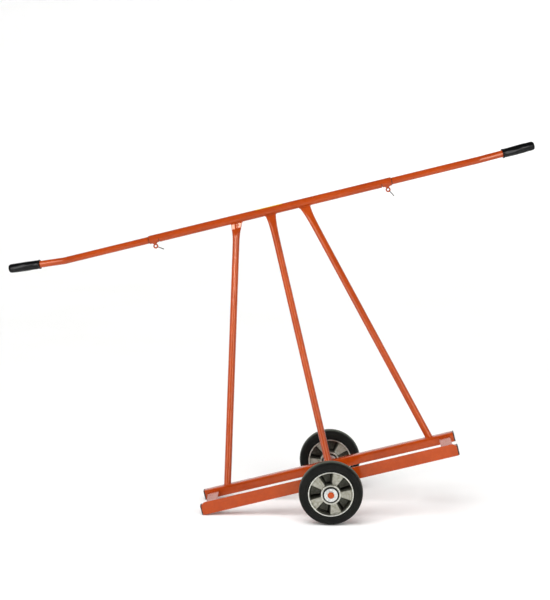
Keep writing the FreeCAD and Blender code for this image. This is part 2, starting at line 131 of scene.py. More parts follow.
def rounded(corners, radius, steps=5):
    """Each corner becomes an arc: centre plus the first spoke turned by equal shares of the bend.

    The arc starts radius times the tangent of half the bend before the corner.
    """
    corners = np.asarray(corners, float)
    radius = np.broadcast_to(np.asarray(radius, float), len(corners))[:, None]
    before = corners - np.roll(corners, 1, 0)
    after = np.roll(corners, -1, 0) - corners
    before /= np.linalg.norm(before, axis=1, keepdims=True)
    after /= np.linalg.norm(after, axis=1, keepdims=True)
    cross = before[:, 0] * after[:, 1] - before[:, 1] * after[:, 0]
    bend = np.arctan2(cross, (before * after).sum(1))[:, None]
    spoke = np.stack([before[:, 1], -before[:, 0]], 1) * np.sign(bend) * radius
    start = corners - before * radius * np.abs(np.tan(bend / 2))
    angle = bend * np.linspace(0, 1, steps + 1)
    turned = np.stack([spoke[:, :1] * np.cos(angle) - spoke[:, 1:] * np.sin(angle),
                       spoke[:, :1] * np.sin(angle) + spoke[:, 1:] * np.cos(angle)], -1)
    return ((start - spoke)[:, None] + turned).reshape(-1, 2)


def square(side):
    """Corners of a square about the origin, anticlockwise."""
    return np.array([[-1, -1], [1, -1], [1, 1], [-1, 1]]) * side / 2


def lathe(profile, y_middle, columns=96):
    """Each (radius, y) point goes round the axle line: x = r cos a, z = r sin a."""
    angle = np.linspace(0, 2 * np.pi, columns, endpoint=False)[:, None]
    radius, y = np.asarray(profile, float).T
    rings = np.stack([radius * np.cos(angle), y + y_middle + 0 * angle, radius * np.sin(angle)], -1)
    return loft(rings, "loop")


def circle(columns):
    """Unit circle as (cosine, sine) rows."""
    angle = np.linspace(0, 2 * np.pi, columns, endpoint=False)
    return np.stack([np.cos(angle), np.sin(angle)], -1)


def carried(path, side, radius, columns=64, closed=False):
    """Rings round a path: path point plus radius times (cosine * side + sine * normal).

    The tangent is the path's gradient, and the normal is the tangent crossed with the side.
    """
    path = np.asarray(path, float)
    tangent = np.roll(path, -1, 0) - np.roll(path, 1, 0) if closed else np.gradient(path, axis=0)
    tangent /= np.linalg.norm(tangent, axis=1, keepdims=True)
    side = np.broadcast_to(np.asarray(side, float), path.shape)
    normal = np.cross(tangent, side)
    normal /= np.linalg.norm(normal, axis=1, keepdims=True)
    wide = np.cross(normal, tangent)
    spokes = circle(columns)
    radius = np.broadcast_to(np.asarray(radius, float), len(path))[:, None, None]
    return path[:, None] + radius * (spokes[:, :1] * wide[:, None] + spokes[:, 1:] * normal[:, None])


print("helpers: loft, rounded, lathe, carried")

# %% [markdown]
# ## One piece
# A piece is one or more closed skins in one mesh. Its doubles are merged, which also closes the
# poles of a lathe, and its normals are turned outwards. Edges sharper than 35 degrees stay crisp;
# a sheared or sawn edge gets a small Bevel instead, with hardened normals so that the flats beside
# it stay flat to the eye. Then it rides on its CAD body and hides the CAD nodes it stands for.

# %% Making a piece
MERGE = 2e-6
SHARP = math.radians(35)
made_pieces = {}


def piece(name, skins, body, material, nodes=(), soft=0.0, finish_and_shade=None):
    """Join skins into one object; soft is the bevel width in mm, finish_and_shade one number a point."""
    starts = np.cumsum([0] + [len(points) for points, _ in skins])
    points = np.concatenate([points for points, _ in skins])
    faces = [[corner + start for corner in face]
             for start, (_, group) in zip(starts, skins) for face in group]
    mesh = bpy.data.meshes.new(name)
    mesh.from_pydata(to_frame(points), [], faces)
    if finish_and_shade is not None:
        mesh.attributes.new("finish_and_shade", "FLOAT", "POINT").data.foreach_set("value", finish_and_shade.astype(np.float32))
    work = bmesh.new()
    work.from_mesh(mesh)
    bmesh.ops.remove_doubles(work, verts=work.verts, dist=MERGE)
    bmesh.ops.recalc_face_normals(work, faces=work.faces)
    work.to_mesh(mesh)
    work.free()
    mesh.shade_smooth()
    obj = bpy.data.objects.new(name, mesh)
    bpy.context.scene.collection.objects.link(obj)
    if soft:
        bevel = obj.modifiers.new("soft_edges", "BEVEL")
        bevel.width = soft / 1000
        bevel.segments = 2
        bevel.limit_method = "ANGLE"
        bevel.angle_limit = SHARP
        bevel.harden_normals = True
    else:
        mesh.set_sharp_from_angle(angle=SHARP)
    mesh.materials.append(material)
    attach(obj, body)
    if nodes:
        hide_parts(*nodes)
    made_pieces[name] = len(mesh.polygons)
    return obj


# %% [markdown]
# ## Adding nodes
# A material is a handful of nodes. One small function adds a node with its settings and sets or
# links its inputs, and colours are written as sRGB hex and turned to linear in one place.

# %% Node and colour helpers
def add(tree, kind, inputs=None, **settings):
    """Add a node; each input is either a number or colour, or another node's output to link."""
    node = tree.nodes.new(kind)
    for key, value in settings.items():
        setattr(node, key, value)
    for socket, value in (inputs or {}).items():
        if isinstance(value, bpy.types.NodeSocket):
            tree.links.new(value, node.inputs[socket])
        else:
            node.inputs[socket].default_value = value
    return node


def linear(hex_colour):
    """sRGB hex to linear RGBA, by the sRGB curve: (c + 0.055) / 1.055 to the power 2.4."""
    value = np.array([int(hex_colour[i:i + 2], 16) for i in (1, 3, 5)]) / 255
    curve = np.where(value <= 0.04045, value / 12.92, ((value + 0.055) / 1.055) ** 2.4)
    return (*curve.tolist(), 1.0)


def start_material(name, **shader):
    """New material with its Principled shader's plain numbers set, and a millimetre coordinate."""
    material = bpy.data.materials.new(name)
    material.use_nodes = True
    tree = material.node_tree
    surface = tree.nodes["Principled BSDF"]
    for socket, value in shader.items():
        surface.inputs[socket.replace("_", " ")].default_value = value
    place = add(tree, "ShaderNodeTexCoord").outputs["Object"]
    return material, tree, surface, place


def mottled(tree, place, size_mm, low, high, detail=3.0):
    """Noise with spots of a real size in millimetres, spread between two colours."""
    noise = add(tree, "ShaderNodeTexNoise", {"Vector": place, "Scale": 1000 / size_mm, "Detail": detail})
    ramp = add(tree, "ShaderNodeValToRGB", {"Fac": noise.outputs["Fac"]})
    ramp.color_ramp.elements[0].position = 0.35
    ramp.color_ramp.elements[1].position = 0.65
    ramp.color_ramp.elements[0].color = low
    ramp.color_ramp.elements[1].color = high
    return ramp.outputs["Color"]


def rough_between(tree, place, size_mm, low, high):
    """Noise of a real size mapped to a roughness between low and high."""
    noise = add(tree, "ShaderNodeTexNoise", {"Vector": place, "Scale": 1000 / size_mm, "Detail": 2.0})
    span = add(tree, "ShaderNodeMapRange", {"Value": noise.outputs["Fac"], "From Min": 0.3,
                                            "From Max": 0.7, "To Min": low, "To Max": high})
    return span.outputs["Result"]


def raised(tree, surface, height, depth_mm, strength=1.0):
    """Bump of a real depth in millimetres into the shader's normal."""
    bump = add(tree, "ShaderNodeBump",
               {"Height": height, "Distance": depth_mm / 1000, "Strength": strength})
    tree.links.new(bump.outputs["Normal"], surface.inputs["Normal"])


print("helpers: add, linear, mottled, rough_between, raised")

# %% [markdown]
# ## Orange powder coat
# Sprayed dry and baked, it flows into a satin film with a faint orange peel, thinner on edges. The
# peel's waves are about 1.5 mm across on the real film. Here they are drawn at 3 mm, as coarse as
# they need to be to show at all, and only 0.02 mm deep. A thin clear coat gives the crisp glint
# along a tube on top of the softer body gloss. The colour drifts a little over a hand's width.
# A handle is masked where it slides inside the bar, so the steel there is dark bare steel; that dark
# also serves as painted shade for the thin line at the bar's end and in its saw slots. The mesh marks
# it with the number called finish_and_shade.

# %% Orange powder coat
ORANGE_DEEP = linear("#a03806")
ORANGE_FULL = linear("#ac4008")
# Bare steel, dark enough to serve as painted shade in the saw slots and at the bar's mouth.
BARE_STEEL_AND_SHADE = linear("#1d1a17")


def powder_coat():
    """Satin orange film with peel, drift and a thin glossy top."""
    material, tree, surface, place = start_material(
        "orange_powder_coat", Coat_Weight=0.25, Coat_Roughness=0.05, Specular_IOR_Level=0.5, IOR=1.5,
        Specular_Tint=linear("#ffd9b8"))
    drift = mottled(tree, place, 140, ORANGE_DEEP, ORANGE_FULL)
    speck = mottled(tree, place, 9, linear("#f4efe9"), linear("#ffffff"))
    tint = add(tree, "ShaderNodeMix", {"Factor": 1.0, 6: drift, 7: speck},
               data_type="RGBA", blend_type="MULTIPLY")
    finish_and_shade = add(tree, "ShaderNodeAttribute", attribute_name="finish_and_shade").outputs["Fac"]
    bare_and_shaded = add(tree, "ShaderNodeMix", {"Factor": finish_and_shade, 6: tint.outputs[2], 7: BARE_STEEL_AND_SHADE},
                 data_type="RGBA")
    tree.links.new(bare_and_shaded.outputs[2], surface.inputs["Base Color"])
    tree.links.new(rough_between(tree, place, 30, 0.14, 0.22), surface.inputs["Roughness"])
    peel = add(tree, "ShaderNodeTexNoise", {"Vector": place, "Scale": 1000 / 3.0, "Detail": 1.0})
    raised(tree, surface, peel.outputs["Fac"], 0.02)
    return material


orange = powder_coat()
print("made", orange.name)

# %% [markdown]
# ## Metals
# Zinc plate is a bright, slightly blue-white skin with soft crystalline patches. The bearings are
# ground steel. The wheel is aluminium, cast in a steel die: its skin is dull and grainy grey, and
# the rim's lip and the hub's face are turned bright. The deep pockets are painted dark: painted
# shade, darker the deeper they go. The mesh carries a number called finish_and_shade, 0 in the
# pockets, a half on the raised panels and 1 on the turned rings, so that one material serves the
# whole casting.

# %% Zinc, ground steel, cast aluminium and bare wire
def plated(name, low, high, rough, patch_mm):
    """Metal with patches of two greys and a roughness that follows the patches."""
    material, tree, surface, place = start_material(name, Metallic=1.0)
    tree.links.new(mottled(tree, place, patch_mm, linear(low), linear(high)), surface.inputs["Base Color"])
    tree.links.new(rough_between(tree, place, patch_mm, *rough), surface.inputs["Roughness"])
    grain = add(tree, "ShaderNodeTexNoise", {"Vector": place, "Scale": 1000 / 1.2, "Detail": 2.0})
    raised(tree, surface, grain.outputs["Fac"], 0.02)
    return material


def cast_aluminium():
    """Painted shade in the pockets, blasted panels and turned rings, chosen by the mesh's finish_and_shade
    number.
    """
    material, tree, surface, place = start_material("die_cast_aluminium", Metallic=1.0)
    finish_and_shade = add(tree, "ShaderNodeAttribute", attribute_name="finish_and_shade").outputs["Fac"]
    ramp = add(tree, "ShaderNodeValToRGB", {"Fac": finish_and_shade})
    # The darkest stop is painted shade for the deep pockets; the middle stop is the blasted panels.
    ramp.color_ramp.elements[0].color = linear("#45463f")
    ramp.color_ramp.elements[1].color = linear("#e9eae4")
    panel = ramp.color_ramp.elements.new(0.5)
    panel.color = linear("#b9b8ae")
    skin = mottled(tree, place, 6, linear("#d2d1c8"), linear("#ffffff"), 5.0)
    tint = add(tree, "ShaderNodeMix", {"Factor": 1.0, 6: ramp.outputs["Color"], 7: skin},
               data_type="RGBA", blend_type="MULTIPLY")
    tree.links.new(tint.outputs[2], surface.inputs["Base Color"])
    rough = add(tree, "ShaderNodeMapRange", {"Value": finish_and_shade, "From Min": 0.5, "From Max": 1.0,
                                             "To Min": 0.55, "To Max": 0.28})
    tree.links.new(rough.outputs["Result"], surface.inputs["Roughness"])
    grain = add(tree, "ShaderNodeTexNoise", {"Vector": place, "Scale": 1000 / 1.5, "Detail": 4.0})
    raised(tree, surface, grain.outputs["Fac"], 0.08)
    return material


zinc = plated("bright_zinc_plate", "#c6c8c6", "#e6e7e4", (0.22, 0.40), 5)
ground_steel = plated("ground_bearing_steel", "#b4b4b6", "#cfd0d0", (0.16, 0.26), 12)
spring_wire = plated("drawn_spring_wire", "#4a443f", "#625b54", (0.45, 0.6), 4)
aluminium = cast_aluminium()
print("made", zinc.name, ground_steel.name, spring_wire.name, aluminium.name)

# %% [markdown]
# ## Rubber and plastic
# The tyre is solid elastic rubber, moulded, with a matt charcoal skin. Its crown is a lighter,
# greener grey, partly dust and partly a painted sheen. The grips are glossy dipped vinyl, so they get
# a clear coat over a wavy black body. The plugs and seals are plain moulded black, which still has a
# fine spark-eroded texture from its tool.

# %% Rubber, vinyl, moulded plastic and the blank sticker
def moulded(name, low, high, rough, texture_mm, depth_mm, dust_and_sheen=None, **shader):
    """Moulded surface: two near shades, a fine tool texture, and a dust and painted sheen colour where
    finish_and_shade is 1.
    """
    material, tree, surface, place = start_material(name, **shader)
    colour = mottled(tree, place, 35, linear(low), linear(high))
    if dust_and_sheen:
        finish_and_shade = add(tree, "ShaderNodeAttribute", attribute_name="finish_and_shade").outputs["Fac"]
        colour = add(tree, "ShaderNodeMix", {"Factor": finish_and_shade, 6: colour, 7: linear(dust_and_sheen)},
                     data_type="RGBA").outputs[2]
    tree.links.new(colour, surface.inputs["Base Color"])
    tree.links.new(rough_between(tree, place, 14, *rough), surface.inputs["Roughness"])
    texture = add(tree, "ShaderNodeTexNoise", {"Vector": place, "Scale": 1000 / texture_mm, "Detail": 3.0})
    raised(tree, surface, texture.outputs["Fac"], depth_mm)
    return material


# The tyre's crown colour is partly dust and partly a painted sheen.
tyre_rubber = moulded("moulded_tyre_rubber", "#0b0c0b", "#11120f", (0.55, 0.7), 2.0, 0.06,
                      dust_and_sheen="#4a4f45", IOR=1.52, Specular_IOR_Level=0.15)
seal_rubber = moulded("nitrile_seal_rubber", "#060606", "#0c0c0c", (0.55, 0.7), 1.5, 0.03,
                      IOR=1.52, Specular_IOR_Level=0.2)
grip_vinyl = moulded("dipped_grip_vinyl", "#030304", "#070708", (0.35, 0.45), 5.0, 0.05,
                     IOR=1.5, Specular_IOR_Level=0.1, Coat_Weight=0.22, Coat_Roughness=0.07)
black_plastic = moulded("black_polyethylene", "#101010", "#181817", (0.4, 0.55), 1.2, 0.03, IOR=1.5)
glide_plastic = moulded("grey_nylon_glide", "#2b2b2b", "#373735", (0.4, 0.5), 1.2, 0.02, IOR=1.53)
sticker = moulded("blank_yellow_film", "#d8b50e", "#e6c71c", (0.2, 0.3), 4.0, 0.01, IOR=1.5)
print("made", tyre_rubber.name, grip_vinyl.name, sticker.name)

# %% [markdown]
# ## Bed rails
# Square tube is rolled from strip, so its corners are round: about 3 mm outside on a 2 mm wall. At
# mid-length each rail is notched and sits down over the axle sleeve. Cutting with a boolean would
# leave a ragged mesh; instead the section's lower points are lifted on to the sleeve's circle
# wherever the rail crosses it, which needs only closely spaced stations there.

# %% Sizes of the bed, from the frame
rail_low, rail_high = level_box("front_rail_tube")
rear_low, rear_high = level_box("rear_rail_tube")
lip_low, lip_high = level_box("front_lip")
sleeve_low, sleeve_high = level_box("axle_sleeve")
HALF_RAIL = rail_high[0]
RAIL_SIDE = rail_high[2] - rail_low[2]
RAIL_TOP = rail_high[2]
RAIL_WALL = 2.0
RAIL_CORNER = 3.0
SLEEVE_R = sleeve_high[2]
SLEEVE_BORE = 10.3
FRONT_RAIL_Y = (rail_low[1] + rail_high[1]) / 2
REAR_RAIL_Y = (rear_low[1] + rear_high[1]) / 2
print(f"rails {2 * HALF_RAIL:.0f} mm long, {RAIL_SIDE:.0f} mm square, sleeve {2 * SLEEVE_R:.0f} mm")


# %% Square tubes saddled over the sleeve
def sleeve_arch(x, gap=0.0):
    """Height of the sleeve's circle above the axle: square root of radius squared less x squared."""
    inside = np.clip(SLEEVE_R ** 2 - x ** 2, 0, None)
    return np.where(np.abs(x) <= SLEEVE_R, np.sqrt(inside) + gap, -np.inf)


def rail_walls(side, corner, y_middle, gap):
    """Rounded square at each station, its low points lifted to the arch plus a gap."""
    notch = -SLEEVE_R * np.cos(np.linspace(0, np.pi, 31))
    stations = np.concatenate([[-HALF_RAIL], notch, [HALF_RAIL]])[:, None]
    section = rounded(square(side), corner)
    z = np.maximum(RAIL_TOP - RAIL_SIDE / 2 + section[:, 1], sleeve_arch(stations, gap))
    return np.stack([stations + 0 * z, y_middle + section[:, 0] + 0 * z, z], -1)


for rail_name, rail_y in (("front_rail", FRONT_RAIL_Y), ("rear_rail", REAR_RAIL_Y)):
    outside = rail_walls(RAIL_SIDE, RAIL_CORNER, rail_y, 0.0)
    inside = rail_walls(RAIL_SIDE - 2 * RAIL_WALL, RAIL_CORNER - RAIL_WALL, rail_y, RAIL_WALL)
    skin = loft(np.concatenate([outside, inside[::-1]]), "loop")
    piece(rail_name, [skin], "frame", orange, [rail_name + "_tube"])
print("rails:", made_pieces["front_rail"], "faces each")

# %% [markdown]
# ## Lip and cross strips
# The lip is flat bar stood on edge, its upper corners cropped round so that they don't catch. A
# flat outline pushed back by its thickness is enough, and the Bevel takes the sheared edge off.

# %% Flat bars
LIP_CORNER = 16.0
LIP_EDGE = 0.7
STRIP_EDGE = 0.6


def plate(outline, y_low, y_high):
    """The (x, z) outline at two depths, joined all round and closed by its own two faces."""
    ones = np.ones(len(outline))
    return loft([np.stack([outline[:, 0], y * ones, outline[:, 1]], -1) for y in (y_low, y_high)])


def box_skin(low, high):
    """A box between two corners, as two rings of four points."""
    corners = np.array([[low[0], low[2]], [high[0], low[2]], [high[0], high[2]], [low[0], high[2]]])
    return plate(corners, low[1], high[1])


lip_corners = [[-HALF_RAIL, lip_high[2]], [-HALF_RAIL, lip_low[2]],
               [HALF_RAIL, lip_low[2]], [HALF_RAIL, lip_high[2]]]
lip_outline = rounded(lip_corners, [LIP_CORNER, 0, 0, LIP_CORNER], 8)
arch_x = -SLEEVE_R * np.cos(np.linspace(0, np.pi, 25))
arch = np.stack([arch_x, sleeve_arch(arch_x)], -1)
after_left = 2 * 9
lip_outline = np.concatenate([lip_outline[:after_left], arch, lip_outline[after_left:]])
keep = np.linalg.norm(lip_outline - np.roll(lip_outline, 1, 0), axis=1) > 1e-6
piece("lip", [plate(lip_outline[keep], lip_low[1], lip_high[1])], "frame", orange,
      ["front_lip"], soft=LIP_EDGE)
for side in ("left", "right"):
    strip = level_box("cross_strip_" + side)
    piece("strip_" + side, [box_skin(*strip)], "frame", orange, ["cross_strip_" + side],
          soft=STRIP_EDGE)
print("lip and strips made")

# %% [markdown]
# ## End plugs
# Black plugs close the rail ends: a domed flange outside, and a core with thin fins inside that
# bend as the plug is driven in. The core and fins are one loft of squares that grow and shrink.

# %% End plugs
FLANGE = 4.0
FLANGE_CORNER = 3.0
FLANGE_EDGE = 1.1
CORE_HALF = 10.0
FIN_HALF = 12.7
FIN_X = (3.0, 7.0, 11.0)
CORE_LENGTH = 15.0


def plug_skins(side, y_middle):
    """Flange ring pair, and the core as squares whose half-side steps out at each fin."""
    z_middle = RAIL_TOP - RAIL_SIDE / 2
    face = rounded(square(RAIL_SIDE), FLANGE_CORNER)
    depths = [0.0, FLANGE]
    steps = [(0.0, CORE_HALF)]
    for fin in FIN_X:
        steps += [(fin, CORE_HALF), (fin, FIN_HALF), (fin + 1.0, FIN_HALF), (fin + 1.0, CORE_HALF)]
    steps += [(CORE_LENGTH, CORE_HALF)]
    flange = [np.stack([np.full(len(face), side * (HALF_RAIL + d)), y_middle + face[:, 0],
                        z_middle + face[:, 1]], -1) for d in depths]
    core = [np.stack([np.full(4, side * (HALF_RAIL - d)), y_middle + square(2 * half)[:, 0],
                      z_middle + square(2 * half)[:, 1]], -1) for d, half in steps]
    return [loft(flange), loft(core)]


plug_list = [skin for side in (-1, 1) for y in (FRONT_RAIL_Y, REAR_RAIL_Y) for skin in plug_skins(side, y)]
piece("end_plugs", plug_list, "frame", black_plastic, ["rail_end_plugs"], soft=FLANGE_EDGE)
print("plugs:", len(plug_list) // 2)

# %% [markdown]
# ## Axle, sleeve and the rings on it
# Turned parts are profiles of (radius, y) carried round the axle line. The shaft is painted with
# the frame, so its ends show orange inside the bright washers. The retaining ring is open, so it is
# a small rectangle carried round most of a circle instead.

# %% Axle sizes
AXLE_R = 10.0
CHAMFER = 1.2
washers_high = level_box("axle_washers")[1]
shaft_low, shaft_high = level_box("axle_shaft")
WASHER_OUT = washers_high[1] - TRACK / 2
WASHER_THICK = 3.0
WASHER_R = washers_high[2]
COLLAR_R = 12.8
BEARING_IN = 13.5
BEARING_OUT = 27.5
RING_THICK = 1.2
RING_R = 13.5
RING_OPEN = 22.0


def turned_bar(y_ends, radius, chamfer):
    """Profile of a solid bar: axis, chamfer, full radius, chamfer, axis."""
    low, high = y_ends
    return np.array([[0, low], [radius - chamfer, low], [radius, low + chamfer],
                     [radius, high - chamfer], [radius - chamfer, high], [0, high]])


def washer_profile(side):
    """Stepped washer: thin disc outside and a collar that reaches in to the bearing."""
    inner = BEARING_OUT
    disc = WASHER_OUT - WASHER_THICK
    corners = [[AXLE_R, inner], [COLLAR_R, inner], [COLLAR_R, disc], [WASHER_R, disc],
               [WASHER_R, WASHER_OUT], [AXLE_R, WASHER_OUT]]
    profile = rounded(corners, [0, 0.3, 0, 0.8, 0.8, 0.6], 3)
    return profile * [1, side]


# %% Axle pieces
piece("axle", [lathe(turned_bar((shaft_low[1], shaft_high[1]), AXLE_R, CHAMFER), 0.0, 64)],
      "frame", orange, ["axle_shaft"])
sleeve_profile = rounded([[SLEEVE_BORE, sleeve_low[1]], [SLEEVE_R, sleeve_low[1]],
                          [SLEEVE_R, sleeve_high[1]], [SLEEVE_BORE, sleeve_high[1]]], 0.6, 3)
piece("sleeve", [lathe(sleeve_profile, 0.0, 72)], "frame", orange, ["axle_sleeve"])
washer_skins = [lathe(washer_profile(side), wheel * TRACK / 2, 80) for wheel in (-1, 1) for side in (-1, 1)]
piece("washers", washer_skins, "frame", zinc, ["axle_washers"])


def open_ring(y_middle):
    """A rounded rectangle carried round an arc that leaves a gap at the bottom."""
    gap = np.radians(RING_OPEN)
    angle = np.linspace(-np.pi / 2 + gap / 2, 1.5 * np.pi - gap / 2, 61)
    middle = (AXLE_R + RING_R) / 2
    section = rounded(square(1) * [RING_R - AXLE_R, RING_THICK], 0.35, 2)
    radius = (middle + section[:, 0])[None]
    angle = angle[:, None]
    y = y_middle + section[:, 1] + 0 * angle
    return loft(np.stack([radius * np.cos(angle), y, radius * np.sin(angle)], -1))


ring_y = TRACK / 2 + WASHER_OUT + RING_THICK / 2
piece("snap_rings", [open_ring(side * ring_y) for side in (-1, 1)], "frame", zinc,
      ["retaining_rings"])
print("axle, sleeve, washers and snap rings made")

# %% [markdown]
# ## Tyre
# A solid tyre is moulded on to the rim. Its profile is what gives it away as one: a small step and
# bevel beside the rim's lip, a flat side with a raised band, a round shoulder and a low crown. Half
# the profile is laid out and mirrored, so both sides agree.

# %% Tyre
tyre_low, tyre_high = level_box("tyre_front")
WHEEL_R = tyre_high[0]
TYRE_HALF = (tyre_high[1] - tyre_low[1]) / 2
CROWN_RISE = 2.4
CROWN_HALF = 17.0
SEAT_R = 68.0
SEAT_HALF = 20.5
STEP_R = 71.6
BEVEL_R = 73.2
BAND_START = (78.6, 80.2)
BAND_END = 91.5
SHOULDER_R = 96.4
TYRE_COLUMNS = 144


def tyre_profile():
    """Bead step, bevel, raised band and shoulder as rounded corners; the crown is a parabola."""
    out = TYRE_HALF
    corners = [[SEAT_R, SEAT_HALF], [STEP_R, SEAT_HALF], [STEP_R, out - 3.2], [BEVEL_R, out - 2.2],
               [BAND_START[0], out - 1.5], [BAND_START[1], out - 0.2], [BAND_END, out],
               [SHOULDER_R, out - 3.4], [WHEEL_R - CROWN_RISE, CROWN_HALF]]
    radius = [0, 0.8, 0.8, 0.8, 0.9, 0.9, 5.0, 3.5, 0]
    side = rounded(corners, radius, 5)
    height = np.linspace(CROWN_HALF, 0, 9)[1:]
    crown = np.stack([WHEEL_R - CROWN_RISE * (height / CROWN_HALF) ** 2, height], -1)
    half = np.concatenate([side, crown])
    return np.concatenate([half, half[-2::-1] * [1, -1]])


def tread_dust_and_sheen(points):
    """1 on the crown, greyed for dust and for a painted sheen, and 0 below it, by the radius alone."""
    radius = np.hypot(points[:, 0], points[:, 2])
    return np.clip((radius - WHEEL_R + 1.7) / 0.9, 0, 1)


for name, side in (("front", -1), ("rear", 1)):
    skin = lathe(tyre_profile(), side * TRACK / 2, TYRE_COLUMNS)
    piece("tyre_" + name + "_moulded", [skin], "wheel_" + name, tyre_rubber,
          ["tyre_" + name], finish_and_shade=tread_dust_and_sheen(skin[0]))
print("tyre radius", round(WHEEL_R, 1), "half width", round(TYRE_HALF, 1))

# %% [markdown]
# ## Die-cast rim
# The web between hub and rim band is one folded sheet: five panels stand out towards one side and
# five towards the other, with drafted walls between them so that the casting leaves its die. That
# fold is a rounded trapezoid wave round the wheel, drawn once for a fifth of the turn. The front and
# back of the sheet are two such waves, half a pitch apart, and near the hub and the band both curl
# outwards in a small fillet.

# %% The folded web
HUB_R = 31.0
HUB_HALF = 30.0
BAND_R = 70.5
BAND_IN_R = 65.0
BAND_HALF = 24.0
WEB_FACE = 17.0
WEB_THICK = 5.0
PANELS = 5
FOLD_PITCH = 360 / PANELS
PANEL_HALF = 15.0
DRAFT = 8.0
FOLD_R = 2.2
MEAN_R = 48.0
FILLET = 3.0
BEARING_R = 23.5
HUB_BORE = 20.0
SEAL_R = 25.0
TURNED_DEPTH = 22.5
TURNED_BAND_R = 66.9
TURNED_HUB_R = 26.4


def fold_wave():
    """Angle in degrees and depth of one pitch, as the rounded outline of a drafted trapezoid."""
    to_mm = np.radians(1) * MEAN_R
    floor = WEB_FACE - WEB_THICK
    low, high = PANEL_HALF, PANEL_HALF + DRAFT
    corners = np.array([[-low, -WEB_FACE], [low, -WEB_FACE], [high, floor],
                        [FOLD_PITCH - high, floor], [FOLD_PITCH - low, -WEB_FACE],
                        [FOLD_PITCH + low, -WEB_FACE], [FOLD_PITCH, -90], [0, -90]])
    outline = rounded(corners * [to_mm, 1], [0, FOLD_R, FOLD_R, FOLD_R, FOLD_R, 0, 0, 0], 5)
    wave = outline[6:30]
    return wave[:, 0] / to_mm, wave[:, 1]


wave_angle, wave_depth = fold_wave()
print("fold from", wave_depth.min(), "to", round(wave_depth.max(), 1), "mm in", len(wave_angle), "points")

# %% [markdown]
# The front and back waves don't share their angles, so they can't yet be the two faces of one
# wrapped grid. Two separate sheets would leave the web without a closed skin. Instead both waves
# are read at the union of their angles, which keeps every corner of each.

# %% Rim
def wave_at(degrees):
    """Depth of the fold at any angle, read along the outline of one pitch."""
    place = np.mod(degrees - wave_angle[0], FOLD_PITCH) + wave_angle[0]
    ends = np.append(wave_angle, wave_angle[0] + FOLD_PITCH)
    return np.interp(place, ends, np.append(wave_depth, wave_depth[0]))


def web_skin(turn, y_middle):
    """Both sheets at shared angles: y = wave - curl in front, minus the shifted wave + curl behind."""
    once = np.mod(np.concatenate([wave_angle, wave_angle + FOLD_PITCH / 2]), FOLD_PITCH)
    once = np.unique(np.round(once, 4))
    degrees = (np.arange(PANELS)[:, None] * FOLD_PITCH + once).ravel()
    rises = np.array([0.0, 0.3, 0.8, 1.5, FILLET])
    radii = np.concatenate([[HUB_R - 2], HUB_R + rises, BAND_IN_R - rises[::-1], [BAND_IN_R + 2]])
    wall = np.clip(np.minimum(np.abs(radii - HUB_R), np.abs(BAND_IN_R - radii)), 0, FILLET)
    curl = (FILLET - np.sqrt(FILLET ** 2 - (FILLET - wall) ** 2))[:, None]
    curl[[0, -1]] = FILLET
    front_y = wave_at(degrees) - curl
    back_y = -wave_at(degrees + FOLD_PITCH / 2) + curl
    spin = np.radians(degrees + turn)
    cosine, sine = radii[:, None] * np.cos(spin), radii[:, None] * np.sin(spin)
    front = np.stack([cosine, y_middle + front_y, sine], -1)
    back = np.stack([cosine, y_middle + back_y, sine], -1)
    return loft(np.concatenate([front, back[::-1]]), "loop")


def hub_profile():
    """Hub: bored for two bearings, counterbored for their seals, with drafted outside."""
    corners = [[HUB_BORE, 0], [HUB_BORE, BEARING_IN], [BEARING_R, BEARING_IN], [BEARING_R, BEARING_OUT],
               [SEAL_R, BEARING_OUT], [SEAL_R, HUB_HALF - 1.3], [SEAL_R + 1.3, HUB_HALF],
               [HUB_R - 0.4, HUB_HALF], [HUB_R + 1.2, 0]]
    half = rounded(corners, [0, 0.3, 0, 0, 0, 0.1, 0.1, 1.0, 0], 3)[4:-4]
    return np.concatenate([[[HUB_BORE, 0.0]], half, [[HUB_R + 1.2, 0.0]], half[::-1] * [1, -1]])


def band_profile():
    """Rim band: tyre seat outside, lips that stand up beside it, and drafted inside."""
    corners = [[SEAT_R, 0], [SEAT_R, SEAT_HALF], [BAND_R, SEAT_HALF], [BAND_R, BAND_HALF],
               [67.2, BAND_HALF], [BAND_IN_R - 0.4, 0]]
    half = rounded(corners, [0, 0.3, 0.3, 0.7, 0.9, 0], 3)[4:-4]
    return np.concatenate([[[SEAT_R, 0.0]], half, [[BAND_IN_R - 0.4, 0.0]], half[::-1] * [1, -1]])


def rim_finish_and_shade(points, y_middle):
    """Painted shade: 0 deep in a pocket, rising to a half at the panel faces; 1 on the turned lip and hub
    face.
    """
    radius = np.hypot(points[:, 0], points[:, 2])
    depth = np.abs(points[:, 1] - y_middle)
    # Darker the deeper a point lies in a pocket: painted shade.
    panel = 0.5 * np.clip((depth - WEB_FACE + WEB_THICK + 0.6) / (WEB_THICK - 1.2), 0, 1)
    on_hub = (radius > TURNED_HUB_R) & (radius < HUB_R - 0.7)
    turned = (depth > TURNED_DEPTH) & ((radius > TURNED_BAND_R) | on_hub)
    return np.where(turned, 1.0, panel)


def panel_angle(node):
    """Where a panel's middle stands, found from the CAD rim: the mean of five-fold turned angles.

    Points of the CAD panels that face the lip side are turned five times as far round, so that all
    five panels fall on one direction, and that direction's fifth is the answer.
    """
    level = level_points(node)
    low, high = level.min(0), level.max(0)
    radius = np.hypot(level[:, 0], level[:, 2])
    face = np.abs(level[:, 1] - (low[1] + high[1]) / 2 + WEB_FACE) < 0.2
    chosen = level[face & (radius > HUB_R + 0.5)]
    around = np.arctan2(chosen[:, 2], chosen[:, 0]) * PANELS
    return math.degrees(math.atan2(np.sin(around).mean(), np.cos(around).mean())) / PANELS


